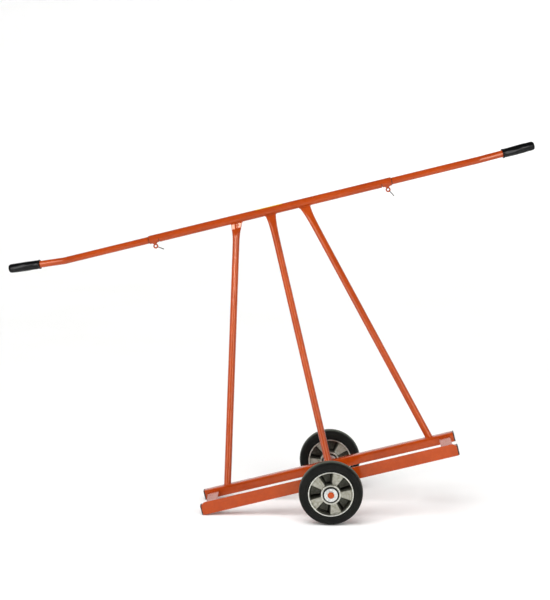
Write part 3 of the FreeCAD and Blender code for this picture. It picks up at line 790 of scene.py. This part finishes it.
for name, side in (("front", -1), ("rear", 1)):
    y_wheel = side * TRACK / 2
    turn = panel_angle("rim_" + name)
    skins = [web_skin(turn, y_wheel), lathe(hub_profile(), y_wheel, 96),
             lathe(band_profile(), y_wheel, TYRE_COLUMNS)]
    finish_and_shade = rim_finish_and_shade(np.concatenate([points for points, _ in skins]), y_wheel)
    piece("rim_" + name + "_cast", skins, "wheel_" + name, aluminium, ["rim_" + name],
          finish_and_shade=finish_and_shade)
    print(name, "rim turned", round(turn, 1), "degrees,", made_pieces["rim_" + name + "_cast"], "faces")

# %% [markdown]
# ## Dust seals
# A pressed seal closes each hub mouth. It sits a little below the hub's turned face, so that it reads
# as the dark ring between the bright hub and the bright washer.

# %% Dust seals
SEAL_BORE = 13.5
SEAL_OUT = 29.5


def seal_profile(side):
    """A flat ring, sunk a little at its rim and raised where the lip bears on the washer's collar."""
    corners = [[SEAL_BORE, BEARING_OUT], [SEAL_R, BEARING_OUT], [SEAL_R, SEAL_OUT - 0.8],
               [20.0, SEAL_OUT - 0.8], [19.2, SEAL_OUT], [SEAL_BORE, SEAL_OUT]]
    return rounded(corners, [0, 0, 0.3, 0.2, 0.3, 0.2], 3) * [1, side]


for name, wheel in (("front", -1), ("rear", 1)):
    skins = [lathe(seal_profile(side), wheel * TRACK / 2, 96) for side in (-1, 1)]
    piece("seals_" + name, skins, "wheel_" + name, seal_rubber, ["hub_seals_" + name])
print("seals made")

# %% [markdown]
# ## Weld beads
# A hand-laid bead is a string of overlapping puddles. It is a small round section carried along the
# joint, whose radius swells and falls once a puddle and tapers at free ends. It is painted over with
# the frame. The beads are worked out here as a list and made into one piece at the end.

# %% A bead along any path
PUDDLE = 2.4
BEAD_STEP = 0.6
beads = []


def bead(path, axis, radius, closed=False):
    """Even steps along the path; radius times 1 + 0.12 |sin|, once a puddle, tapered at free ends."""
    path = np.asarray(path, float)
    if closed:
        path = np.vstack([path, path[:1]])
    runs = np.append(0, np.cumsum(np.linalg.norm(np.diff(path, axis=0), axis=1)))
    steps = max(12, int(runs[-1] / BEAD_STEP))
    place = np.linspace(0, runs[-1], steps, endpoint=not closed)
    line = np.stack([np.interp(place, runs, path[:, k]) for k in range(3)], -1)
    swell = 1 + 0.12 * (np.abs(np.sin(np.pi * place / PUDDLE)) - 0.5)
    taper = 1.0
    if not closed:
        end = np.minimum(place, runs[-1] - place) / radius
        taper = np.sqrt(np.clip(1 - (1 - np.clip(end, 0, 1)) ** 2, 0.02, 1))
    rings = carried(line, axis, radius * swell * taper, 10, closed)
    beads.append(loft(rings, "loop" if closed else "caps"))


print("beads: one puddle every", PUDDLE, "mm")

# %% [markdown]
# ## Uprights
# Each upright is a round tube, mitred to stand on the rear rail and pressed flat at the top to meet
# the bar. Pressing holds the tube between two plates: its section keeps its round shape where it is
# free, and is held flat where the plates touch. So a section is (half-width x cosine, radius x sine)
# with the second number squeezed smoothly under the plates' gap. The gap is constant at the top,
# then opens in a straight slope, and that kink makes the crease across and the V-shaped flat below.
# The wall also folds in along the middle as it is pressed, which leaves a shallow dimple.

# %% Sizes of the uprights and bar
bar_low, bar_high = level_box("main_bar_tube")
BAR_Y = (bar_low[1] + bar_high[1]) / 2
BAR_Z = (bar_low[2] + bar_high[2]) / 2
BAR_R = (bar_high[2] - bar_low[2]) / 2
TUBE_R = 11.5
PRESSED_HALF_WIDTH = math.pi * TUBE_R / 2
PRESSED_HALF_THICK = 3.0
HOLD = 4.5
DIMPLE = 0.35
SINK = 0.5
right_high = level_box("upright_right")[1]
FOOT_X = 336.0
HEAD_X = 112.0
UPRIGHTS = {"left": (-FOOT_X, -HEAD_X, 20.0, 16.0, 30.0, 1.7), "middle": (0.0, 0.0, 3.0, 36.0, 27.0, 1.0),
            "right": (FOOT_X, HEAD_X, 3.0, 36.0, 27.0, 1.0)}
print(f"bar {2 * BAR_R:.0f} mm at y {BAR_Y:.0f}, z {BAR_Z:.1f}; right foot reaches x {right_high[0]:.0f}")


# %% Pressed tubes
def pressed_upright(foot_x, head_x, flat_mm, neck_mm, fade_mm, fade_power, columns=112):
    """Lines along the tube, each from the rail's top plane to the bar's cylinder.

    A point is foot + t * run + u * wide + v * thin. On a line, t starts where z meets the rail and
    ends at the smaller root of the distance to the bar's axis being the bar's radius.
    """
    foot = np.array([foot_x, REAR_RAIL_Y, RAIL_TOP])
    head = np.array([head_x, BAR_Y, BAR_Z])
    run = (head - foot) / np.linalg.norm(head - foot)
    wide = np.array([1.0, 0, 0]) - run * run[0]
    wide /= np.linalg.norm(wide)
    thin = np.cross(run, wide)
    cosine, sine = circle(columns).T

    def offsets(below):
        """Squeezed sine, and a width that dies away to round as e to the minus (below / fade)^power."""
        opening = np.clip(below - flat_mm, 0, None) * (TUBE_R - PRESSED_HALF_THICK) / neck_mm
        gap = PRESSED_HALF_THICK + opening
        half_width = TUBE_R + (PRESSED_HALF_WIDTH - TUBE_R) * np.exp(-(below / fade_mm) ** fade_power)
        v = TUBE_R * sine
        v = v / (1 + (np.abs(v) / gap) ** HOLD) ** (1 / HOLD)
        v = v * (1 - DIMPLE * np.exp(-(cosine / 0.22) ** 2 - (below / (flat_mm + 2)) ** 8))
        return (half_width * cosine)[..., None] * wide + v[..., None] * thin

    top = foot + offsets(np.zeros((1, 1)))[0]
    reach = top[:, 1:] - [BAR_Y, BAR_Z]
    slope = run[1:] @ run[1:]
    middle = reach @ run[1:]
    spare = np.clip(middle ** 2 - slope * ((reach ** 2).sum(1) - (BAR_R - SINK) ** 2), 0, None)
    ends = (-middle - np.sqrt(spare)) / slope
    below = np.concatenate([np.linspace(0, 110, 111), [220.0]])[:, None]
    rows = foot + offsets(below + 0 * ends) + (ends - below)[..., None] * run
    round_foot = offsets(np.full((1, 1), 1e4))[0]
    low = foot + round_foot - (round_foot[:, 2] / run[2])[:, None] * run
    return np.concatenate([rows, low[None]]), run, thin


for name, sizes in UPRIGHTS.items():
    rings, run, flat_normal = pressed_upright(*sizes)
    piece("upright_" + name + "_tube", [loft(rings)], "frame", orange, ["upright_" + name])
    bead(rings[1][::2], run, 1.9, closed=True)
    bead(rings[-1][::2], [0, 0, 1], 2.2, closed=True)
print("uprights:", made_pieces["upright_left_tube"], "faces each")

# %% [markdown]
# ## Cross bar
# The bar's ends are clamps: a saw slot half-way through lets each end close on the handle inside. A
# tube with a window is a grid of outer and inner points and a table that says which cells are solid.
# Walls are added wherever a solid cell borders on an empty one, which also closes the tube's ends.

# %% Tube with windows
BAR_BORE = 12.0
CLAMP_ZONE = 33.0
SLOT_WIDTH = 2.0
BAR_COLUMNS = 96
BAR_CHAMFER = 0.5


def windowed(outer, inner, solid):
    """Outer and inner skins over the solid cells, and a wall along every border with an empty cell."""
    rows, columns = outer.shape[:2]
    index = np.arange(rows * columns).reshape(rows, columns)
    right = np.roll(index, -1, 1)
    cells = np.stack([index[:-1], right[:-1], right[1:], index[1:]], -1)
    offset = rows * columns
    tall = np.zeros((rows + 1, columns), bool)
    tall[1:-1] = solid
    level_edges = np.stack([index, right], -1)[tall[1:] != tall[:-1]]
    upright_edges = np.stack([index[:-1], index[1:]], -1)[solid != np.roll(solid, 1, 1)]
    edges = np.concatenate([level_edges, upright_edges])
    walls = np.hstack([edges, edges[:, ::-1] + offset])
    faces = np.concatenate([cells[solid], cells[solid][:, ::-1] + offset, walls])
    used, renumbered = np.unique(faces, return_inverse=True)
    points = np.concatenate([outer.reshape(-1, 3), inner.reshape(-1, 3)])
    return points[used], renumbered.reshape(faces.shape).tolist()


def bar_ring(x, radius):
    """Circle of the given radius about the bar's axis at each x."""
    angle = np.linspace(0, 2 * np.pi, BAR_COLUMNS, endpoint=False)
    x, radius = np.asarray(x, float)[:, None], np.asarray(radius, float)[:, None]
    return np.stack([x + 0 * angle, BAR_Y + radius * np.cos(angle), BAR_Z + radius * np.sin(angle)], -1)


slot_x = HALF_RAIL - CLAMP_ZONE
half = np.array([0.0, slot_x - SLOT_WIDTH / 2, slot_x + SLOT_WIDTH / 2, HALF_RAIL - BAR_CHAMFER, HALF_RAIL])
stations = np.concatenate([-half[:0:-1], half])
radii = np.full(len(stations), BAR_R)
radii[[0, -1]] -= BAR_CHAMFER
solid = np.ones((len(stations) - 1, BAR_COLUMNS), bool)
cell_x = np.abs(stations[1:] + stations[:-1]) / 2
in_slot = np.abs(cell_x - slot_x) < SLOT_WIDTH / 2
solid[np.ix_(in_slot, np.arange(BAR_COLUMNS) >= BAR_COLUMNS // 2)] = False
bar_skin = windowed(bar_ring(stations, radii), bar_ring(stations, np.full(len(stations), BAR_BORE)), solid)
piece("cross_bar", [bar_skin], "frame", orange, ["main_bar_tube"])
print("cross bar slots at", slot_x, "mm")

# %% [markdown]
# ## Blank label
# A plain yellow sticker wraps over the back of the bar's top. It is a curved patch a fraction of a
# millimetre thick, left blank.

# %% Blank label
label_low, label_high = level_box("blank_label")
LABEL_THICK = label_high[2] - BAR_Z - BAR_R
LABEL_CORNER = 4.0
LABEL_ROWS = 9
LABEL_COLUMNS = 25
label_half = (label_high[0] - label_low[0]) / 2
lap = np.linspace(0.03, np.arccos(max(-1.0, (label_low[1] - BAR_Y) / BAR_R)), LABEL_COLUMNS)


def label_grid(radius):
    """Angles across, x along; the ends are drawn in at the corners by a quarter circle."""
    edge = np.minimum(lap - lap[0], lap[-1] - lap) * BAR_R
    short = np.clip(LABEL_CORNER - edge, 0, LABEL_CORNER)
    pull = LABEL_CORNER - np.sqrt(np.clip(LABEL_CORNER ** 2 - short ** 2, 0, None))
    share = np.linspace(-1, 1, LABEL_ROWS)[:, None]
    x = share * (label_half - pull)
    return np.stack([x, BAR_Y + radius * np.cos(lap) + 0 * x, BAR_Z + radius * np.sin(lap) + 0 * x], -1)


label_solid = np.ones((LABEL_ROWS - 1, LABEL_COLUMNS), bool)
label_solid[:, -1] = False
piece("label", [windowed(label_grid(BAR_R + LABEL_THICK), label_grid(BAR_R + 0.02), label_solid)], "frame",
      sticker, ["blank_label"])
print("label", round(2 * label_half), "mm long")

# %% [markdown]
# ## Handles
# Each handle is a lighter tube that slides in the bar, with its outer end bent ten degrees. Its path
# is a straight run, a tangent arc and a second run, and the rings are carried along it outside and
# back along the inside, so that the open end shows a real wall.

# %% Handle tubes
HANDLE_SHOWN = 293.0
HANDLE_HIDDEN = 120.0
HANDLE_END = 193.0
HANDLE_BEND = math.radians(10.0)
BEND_RADIUS = 60.0
TUBE_WALL = 2.0
GRIP_LENGTH = 110.0
GRIP_END = 3.0
BARE_AND_SHADED_REACH = 2.0
HANDLES = {"left": (-1, 65.0), "right": (1, 90.0)}
bent_run = np.array([math.cos(HANDLE_BEND), 0, math.sin(HANDLE_BEND)])


def on_handle(points, side, turn):
    """Turn about the handle's own axis, mirror to its side and move to the bar's end."""
    x, y, z = np.moveaxis(np.asarray(points, float), -1, 0)
    sine, cosine = math.sin(math.radians(turn)), math.cos(math.radians(turn))
    turned_y, turned_z = y * cosine + z * sine, z * cosine - y * sine
    return np.stack([side * (HALF_RAIL + x), BAR_Y + turned_y, BAR_Z + turned_z], -1)


def handle_path():
    """Straight run, arc about a centre one bend radius above its start, and the bent run."""
    tangent = BEND_RADIUS * math.tan(HANDLE_BEND / 2)
    angle = np.linspace(0, HANDLE_BEND, 13)
    arc = np.stack([HANDLE_SHOWN - tangent + BEND_RADIUS * np.sin(angle), 0 * angle,
                    BEND_RADIUS * (1 - np.cos(angle))], -1)
    end = np.array([HANDLE_SHOWN, 0, 0]) + bent_run * (HANDLE_END - GRIP_END - 0.5)
    return np.vstack([[-HANDLE_HIDDEN, 0, 0], [BARE_AND_SHADED_REACH, 0, 0], [BARE_AND_SHADED_REACH + 0.3, 0, 0], arc, end])


for name, (side, turn) in HANDLES.items():
    path = handle_path()
    outer = carried(path, [0, 1, 0], TUBE_R, 72)
    inner = carried(path, [0, 1, 0], TUBE_R - TUBE_WALL, 72)
    local = np.concatenate([outer, inner[::-1]])
    # Dark inside the bar: bare steel, and painted shade for the saw slots and the bar's mouth.
    bare_and_shaded = np.where(local[..., 0].ravel() < BARE_AND_SHADED_REACH + 0.1, 1.0, 0.0)
    piece("handle_" + name + "_tube", [loft(on_handle(local, side, turn), "loop")], "handle_" + name,
          orange, ["handle_tube_" + name], finish_and_shade=bare_and_shaded)
print("handle tubes made")

# %% [markdown]
# ## Grips
# A dipped grip is a closed sleeve of soft vinyl: a rolled collar at its mouth, a body that swells a
# little in the palm, and a rounded end. Its skin isn't true. It has shallow lengthwise waves, which
# break the highlight into the uneven streaks that give the material away, so they are in the shape.

# %% Grips
GRIP_R = 15.8
GRIP_COLUMNS = 88


def grip_rings():
    """Radius by station: collar, swell and a quarter-ellipse end, times slow waves round and along."""
    collar = np.array([[0.0, TUBE_R + 0.05], [0.0, GRIP_R - 1.2], [0.4, GRIP_R - 0.4], [1.4, GRIP_R],
                       [3.2, GRIP_R], [4.4, GRIP_R - 0.3], [5.2, GRIP_R - 1.0], [7.0, GRIP_R - 1.1]])
    body_x = np.linspace(10, GRIP_LENGTH - 10, 34)
    swell = GRIP_R - 1.1 + 0.7 * np.sin(np.pi * (body_x - 10) / (GRIP_LENGTH - 20)) ** 2
    sweep = np.linspace(0, np.pi / 2, 12)[1:]
    end_x = GRIP_LENGTH - 10 + 10 * np.sin(sweep)
    end_r = (GRIP_R - 1.1 - 5.0) + 5.0 * np.cos(sweep)
    close = np.array([[GRIP_LENGTH, 0.0]])
    line = np.vstack([collar, np.stack([body_x, swell], -1), np.stack([end_x, end_r], -1), close])
    x, radius = line[:, :1], line[:, 1:]
    angle = np.linspace(0, 2 * np.pi, GRIP_COLUMNS, endpoint=False)
    inside = np.clip((x - 7) / 12, 0, 1) * np.clip((GRIP_LENGTH - 4 - x) / 12, 0, 1)
    waves = 0.22 * np.sin(5 * angle + x / 17) + 0.14 * np.sin(11 * angle - x / 9)
    radius = radius + inside * (waves + 0.10 * np.sin(x / 5 + 2 * angle))
    return x + 0 * radius, radius * np.cos(angle), radius * np.sin(angle)


def grip_skin(side, turn):
    """Rings on the bent run's own axes, then closed inside by a bore that fits the tube."""
    x, wide, tall = grip_rings()
    angle = np.linspace(0, 2 * np.pi, GRIP_COLUMNS, endpoint=False)
    bore = np.array([[0.0], [TUBE_R + 0.05]])
    x = np.vstack([x, GRIP_LENGTH - GRIP_END + 0 * bore * angle])
    wide = np.vstack([wide, bore * np.cos(angle)])
    tall = np.vstack([tall, bore * np.sin(angle)])
    mouth = np.array([HANDLE_SHOWN, 0, 0]) + bent_run * (HANDLE_END - GRIP_LENGTH)
    normal = np.array([-bent_run[2], 0, bent_run[0]])
    points = mouth + x[..., None] * bent_run + wide[..., None] * [0, 1, 0] + tall[..., None] * normal
    return loft(on_handle(points, side, turn), "loop")


for name, (side, turn) in HANDLES.items():
    piece("grip_" + name, [grip_skin(side, turn)], "handle_" + name, grip_vinyl,
          ["handle_grip_" + name])
print("grips:", made_pieces["grip_left"], "faces each")

# %% [markdown]
# ## Clamp screws
# Under each clamp a welded boss takes an M6 screw whose head is a ring, turned with a finger or a
# bar. The boss flares into the bar where the weld has filled its corner. A short length of wire is
# welded to the ring as a pointer and a second hold.

# %% Bosses
EYE_X = HALF_RAIL - CLAMP_ZONE / 2
EYE_DROP = 24.5
EYE_HOLE = 3.5
WIRE_R = 2.5
SCREW_R = 3.0
PITCH = 1.0
BOSS_BOTTOM = 16.2
BOSS_R = 6.8
BOSS_FLARE = 5.6


def boss_skin(side):
    """Rings that start on the bar's own surface and flare in to a short cylinder below it."""
    share = np.linspace(0, 1, 16)[:, None]
    spokes = circle(64)
    radius = BOSS_R + BOSS_FLARE * (1 - share) ** 3
    x, y = radius * spokes[:, 0], radius * spokes[:, 1]
    on_bar = -np.sqrt((BAR_R - SINK) ** 2 - y ** 2)
    z = on_bar + (-BOSS_BOTTOM - on_bar) * share ** 0.8
    rings = np.stack([side * EYE_X + x, BAR_Y + y, BAR_Z + z], -1)
    centre = np.array([side * EYE_X, BAR_Y, BAR_Z - BOSS_BOTTOM])
    edge = centre + (rings[-1:] - centre) * 0.93 + [0, 0, -0.4]
    return loft(np.concatenate([rings, edge]))


piece("bosses", [boss_skin(side) for side in (-1, 1)], "frame", orange, ["clamp_bosses"])
print("bosses made")

# %% Ring heads and screws
TAILS = {"left": (-1, -33.0), "right": (1, -59.0)}
TAIL_REACH = 29.0
TAIL_R = 1.5


def ring_head(centre):
    """A torus: wire circle carried round the ring's middle circle, in the plane across the bar."""
    angle = np.linspace(0, 2 * np.pi, 56, endpoint=False)[:, None]
    spokes = circle(24)
    out = EYE_HOLE + WIRE_R + WIRE_R * spokes[:, 0]
    rings = np.stack([out * np.cos(angle), WIRE_R * spokes[:, 1] + 0 * angle, out * np.sin(angle)], -1)
    return loft(centre + rings, "loop")


def threaded_shank(centre, top):
    """Radius less half a thread depth times a triangle wave of height over pitch plus turn."""
    z = np.linspace(centre[2] + EYE_HOLE + WIRE_R, top, 60)[:, None]
    angle = np.linspace(0, 2 * np.pi, 32, endpoint=False)
    phase = np.mod(z / PITCH + angle / (2 * np.pi), 1)
    depth = 0.5 * np.abs(2 * phase - 1) * np.clip((z - z[0] - 3.0) / 0.5, 0, 1)
    radius = SCREW_R - depth
    x, y = centre[0] + radius * np.cos(angle), centre[1] + radius * np.sin(angle)
    return loft(np.stack([x, y, z + 0 * radius], -1))


def wire_tail(centre, degrees):
    """A thin rod with a round end that leaves the ring's rim and bends down slightly."""
    run = np.array([math.cos(math.radians(degrees)), 0, math.sin(math.radians(degrees))])
    down = np.array([run[2], 0, -run[0]])
    share = np.append(np.linspace(0, 0.94, 12), 0.94 + 0.06 * np.sin(np.linspace(0.2, np.pi / 2, 7)))
    radius = TAIL_R * np.sqrt(np.clip(1 - (np.clip(share - 0.94, 0, None) / 0.0601) ** 2, 1e-4, 1))
    reach = EYE_HOLE + 2 * WIRE_R - 0.8
    path = centre + np.outer(reach + share * (TAIL_REACH - reach), run) + np.outer(0.8 * share ** 2, down)
    return loft(carried(path, [0, 1, 0], radius, 20))


for name, (side, degrees) in TAILS.items():
    centre = np.array([side * EYE_X, BAR_Y, BAR_Z - EYE_DROP])
    skins = [ring_head(centre), threaded_shank(centre, BAR_Z - TUBE_R - 0.4)]
    piece("eye_" + name, skins, "clamp_" + name, orange, ["eye_screw_" + name])
    piece("tail_" + name, [wire_tail(centre, degrees)], "clamp_" + name, spring_wire,
          ["wire_tail_" + name])
print("eye screws and tails made")

# %% [markdown]
# ## The rest of the welds
# The lip is stitched to the rail in five short runs along its back. Each strip is welded across its
# ends, and each rail all along the arch where it sits on the sleeve.

# %% Stitches, strip welds and sleeve welds
STITCHES = 5
STITCH_LENGTH = 34.0
arch_angle = np.linspace(0.12, np.pi - 0.12, 60)
arch_line = np.stack([SLEEVE_R * np.cos(arch_angle), SLEEVE_R * np.sin(arch_angle)], -1)
for middle in np.linspace(-HALF_RAIL + 45, HALF_RAIL - 45, STITCHES):
    x = middle + np.array([-0.5, 0.5]) * STITCH_LENGTH
    bead([[x[0], lip_high[1], RAIL_TOP - 0.4], [x[1], lip_high[1], RAIL_TOP - 0.4]], [0, 1, 0], 2.0)
for side in ("left", "right"):
    low, high = level_box("cross_strip_" + side)
    for y in (low[1], high[1]):
        bead([[low[0] + 1, y, high[2]], [high[0] - 1, y, high[2]]], [0, 1, 0], 1.9)
for y in (lip_low[1], rail_high[1], rear_low[1], rear_high[1]):
    bead(np.stack([arch_line[:, 0], np.full(60, y), arch_line[:, 1]], -1), [0, 1, 0], 1.8)
piece("weld_beads", beads, "frame", orange)
print("weld beads:", len(beads), "runs,", made_pieces["weld_beads"], "faces")

# %% [markdown]
# ## Carried-over pieces
# Inside the hubs and the bar's ends the CAD shapes are already right: bearing races, balls, spacers
# and the glides. They keep their meshes and get ground steel and nylon.

# %% Materials for the nodes that stay
KEPT = {"bearing_inner_races": ground_steel, "hub_spacers": ground_steel}
for name in ("front", "rear"):
    KEPT["bearing_outer_races_" + name] = ground_steel
    KEPT["bearing_balls_" + name] = ground_steel
for name in ("left", "right"):
    KEPT["handle_guide_" + name] = glide_plastic
for node, material in KEPT.items():
    mesh = frame["nodes"][node].data
    mesh.materials.clear()
    mesh.materials.append(material)
print("kept nodes:", len(KEPT))

# %% [markdown]
# ## Camera
# A long lens from a little above, almost square to the rails. The view is worked out from the axle,
# so it follows the object. Standard colour keeps the orange as it is painted.

# %% Camera
CAMERA_FROM_AXLE = np.array([-0.054, -5.802, 1.540])
AZIMUTH = math.radians(-1.219)
PITCH_DOWN = math.radians(9.5)
lens = bpy.data.cameras.new("camera")
lens.sensor_width = 36.0
lens.lens = 111.7
camera = bpy.data.objects.new("camera", lens)
bpy.context.scene.collection.objects.link(camera)
camera.location = axle_middle + CAMERA_FROM_AXLE
camera.rotation_euler = (math.pi / 2 - PITCH_DOWN, 0, -AZIMUTH)
bpy.context.scene.camera = camera
bpy.context.scene.view_settings.view_transform = "Standard"
print("camera at", [round(v, 3) for v in camera.location])

# %% [markdown]
# ## Floor and light
# A round white cove curves up far off on every side, so that nothing but white is seen from
# anywhere. The light is that of a small studio: a pale sky all round, a broad sun from the upper
# left in front for shape and a soft shadow, and two tall soft boxes. The boxes stand to the left and
# right, so their reflections draw bright lines down the uprights and miss the bar. The sun is kept
# out of reflections, or it would put a third line on every tube.

# %% White cove
COVE_FLOOR = 9.0
COVE_CURVE = 3.0
COVE_TOP = 9.0


def white_cove():
    """Floor line, quarter circle and wall line carried round the vertical axis: (r cos a, r sin a, z)."""
    sweep = np.linspace(0, np.pi / 2, 20)
    wall = COVE_FLOOR + COVE_CURVE
    radius = np.concatenate([[0.0, 3.0], COVE_FLOOR + COVE_CURVE * np.sin(sweep), [wall]])
    height = np.concatenate([[0.0, 0.0], COVE_CURVE * (1 - np.cos(sweep)), [COVE_TOP]])
    radius, height = radius[:, None, None], height[:, None, None]
    around = circle(96)
    points, faces = loft(np.concatenate([radius * around, height + 0 * around[..., :1]], -1), "open")
    mesh = bpy.data.meshes.new("white_cove")
    mesh.from_pydata(points, [], faces)
    work = bmesh.new()
    work.from_mesh(mesh)
    bmesh.ops.remove_doubles(work, verts=work.verts, dist=MERGE)
    work.to_mesh(mesh)
    work.free()
    mesh.shade_smooth()
    material, tree, surface, place = start_material("white_paper", Roughness=0.9, Specular_IOR_Level=0.1)
    paper = mottled(tree, place, 600, linear("#fbfbfa"), linear("#fdfdfd"))
    tree.links.new(paper, surface.inputs["Base Color"])
    mesh.materials.append(material)
    cove = bpy.data.objects.new("white_cove", mesh)
    bpy.context.scene.collection.objects.link(cove)
    cove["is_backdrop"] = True
    return cove


white_cove()
print("cove made")

# %% Sky, sun and strips
SKY = 0.15
SUN = 2.3
SUN_SPREAD = math.radians(60)
BOX_DISTANCE = 3.6
BOX_WIDTH = 0.7
BOX_HEIGHT = 2.8
BOX_WATTS = 48.0
BOX_AZIMUTHS = {"left": -47.0, "right": 36.0}
BOX_TARGET = (0, 0, 0.6)


def aimed(name, data, place, target):
    """A light at a place, turned so that its -Z axis points at the target."""
    light = bpy.data.objects.new(name, data)
    bpy.context.scene.collection.objects.link(light)
    toward = np.asarray(target, float) - np.asarray(place, float)
    flat = math.hypot(toward[0], toward[1])
    light.location = place
    light.rotation_euler = (math.atan2(flat, -toward[2]), 0, math.atan2(-toward[0], toward[1]))
    return light


def area_light(name, size_x, size_y, watts, place, target):
    """A rectangular light of a size in metres, aimed at the target."""
    light = bpy.data.lights.new(name, "AREA")
    light.shape = "RECTANGLE"
    light.size = size_x
    light.size_y = size_y
    light.energy = watts
    return aimed(name, light, place, target)


def box_place(azimuth):
    """A point on a circle round the carrier: distance times (sine, minus cosine) of the azimuth."""
    angle = math.radians(azimuth)
    return BOX_DISTANCE * math.sin(angle), -BOX_DISTANCE * math.cos(angle), 1.5


world = bpy.data.worlds.new("soft_sky")
bpy.context.scene.world = world
world.use_nodes = True
world.node_tree.nodes["Background"].inputs["Color"].default_value = linear("#ffffff")
world.node_tree.nodes["Background"].inputs["Strength"].default_value = SKY
sun = bpy.data.lights.new("broad_sun", "SUN")
sun.energy = SUN
sun.angle = SUN_SPREAD
aimed("broad_sun", sun, (-1.6, -2.4, 6.0), (0, 0, 0.4)).visible_glossy = False
for name, azimuth in BOX_AZIMUTHS.items():
    area_light("box_" + name, BOX_WIDTH, BOX_HEIGHT, BOX_WATTS, box_place(azimuth), BOX_TARGET)
print("sky, sun and", len(BOX_AZIMUTHS), "soft boxes made")

# %% [markdown]
# The gloss on thin tubes is narrower than the render can show, so it would average away. A studio
# adds narrow bright strips, flagged so that they reach nothing else. Light linking does the same: one
# strip within each box for the uprights, and one panel for the left upright's pressed flat, placed
# where that flat mirrors it to the camera. They add gloss only and no diffuse light.

# %% Glints on the uprights
STRIP_WIDTH = 0.3
STRIP_WATTS = 30.0
PANEL_SIZE = 0.9
PANEL_WATTS = 45.0
PANEL_DISTANCE = 4.0


def only_gloss(light, pieces):
    """The light gives no diffuse light, and only the named pieces receive it."""
    light.visible_diffuse = False
    receivers = bpy.data.collections.new(light.name + "_receivers")
    for piece_name in pieces:
        receivers.objects.link(bpy.data.objects[piece_name])
    light.light_linking.receiver_collection = receivers


uprights = ["upright_" + name + "_tube" for name in UPRIGHTS]
for name, azimuth in BOX_AZIMUTHS.items():
    place = box_place(azimuth)
    strip = area_light("glint_" + name, STRIP_WIDTH, BOX_HEIGHT, STRIP_WATTS, place, BOX_TARGET)
    only_gloss(strip, uprights)
flat_point = to_frame([-HEAD_X, BAR_Y, BAR_Z - 2 * BAR_R])
to_camera = np.array(camera.location) - flat_point
to_camera /= np.linalg.norm(to_camera)
mirror = flat_normal @ level_axes
bounce = 2 * (mirror @ to_camera) * mirror - to_camera
panel_place = flat_point + PANEL_DISTANCE * bounce
flat_panel = area_light("glint_flat", PANEL_SIZE, PANEL_SIZE, PANEL_WATTS, panel_place, flat_point)
only_gloss(flat_panel, uprights[:1])
print("glints made")

# %% [markdown]
# ## Size and finish
# The CAD model's box and the visual model's box are gathered side by side. The visual
# model has to stay inside the CAD model's box.

# %% Sizes
visual_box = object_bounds()
sizes = {"cad": [list(corner) for corner in cad_box], "visual": [list(corner) for corner in visual_box]}
print("pieces made:", len(made_pieces), "faces:", sum(made_pieces.values()))
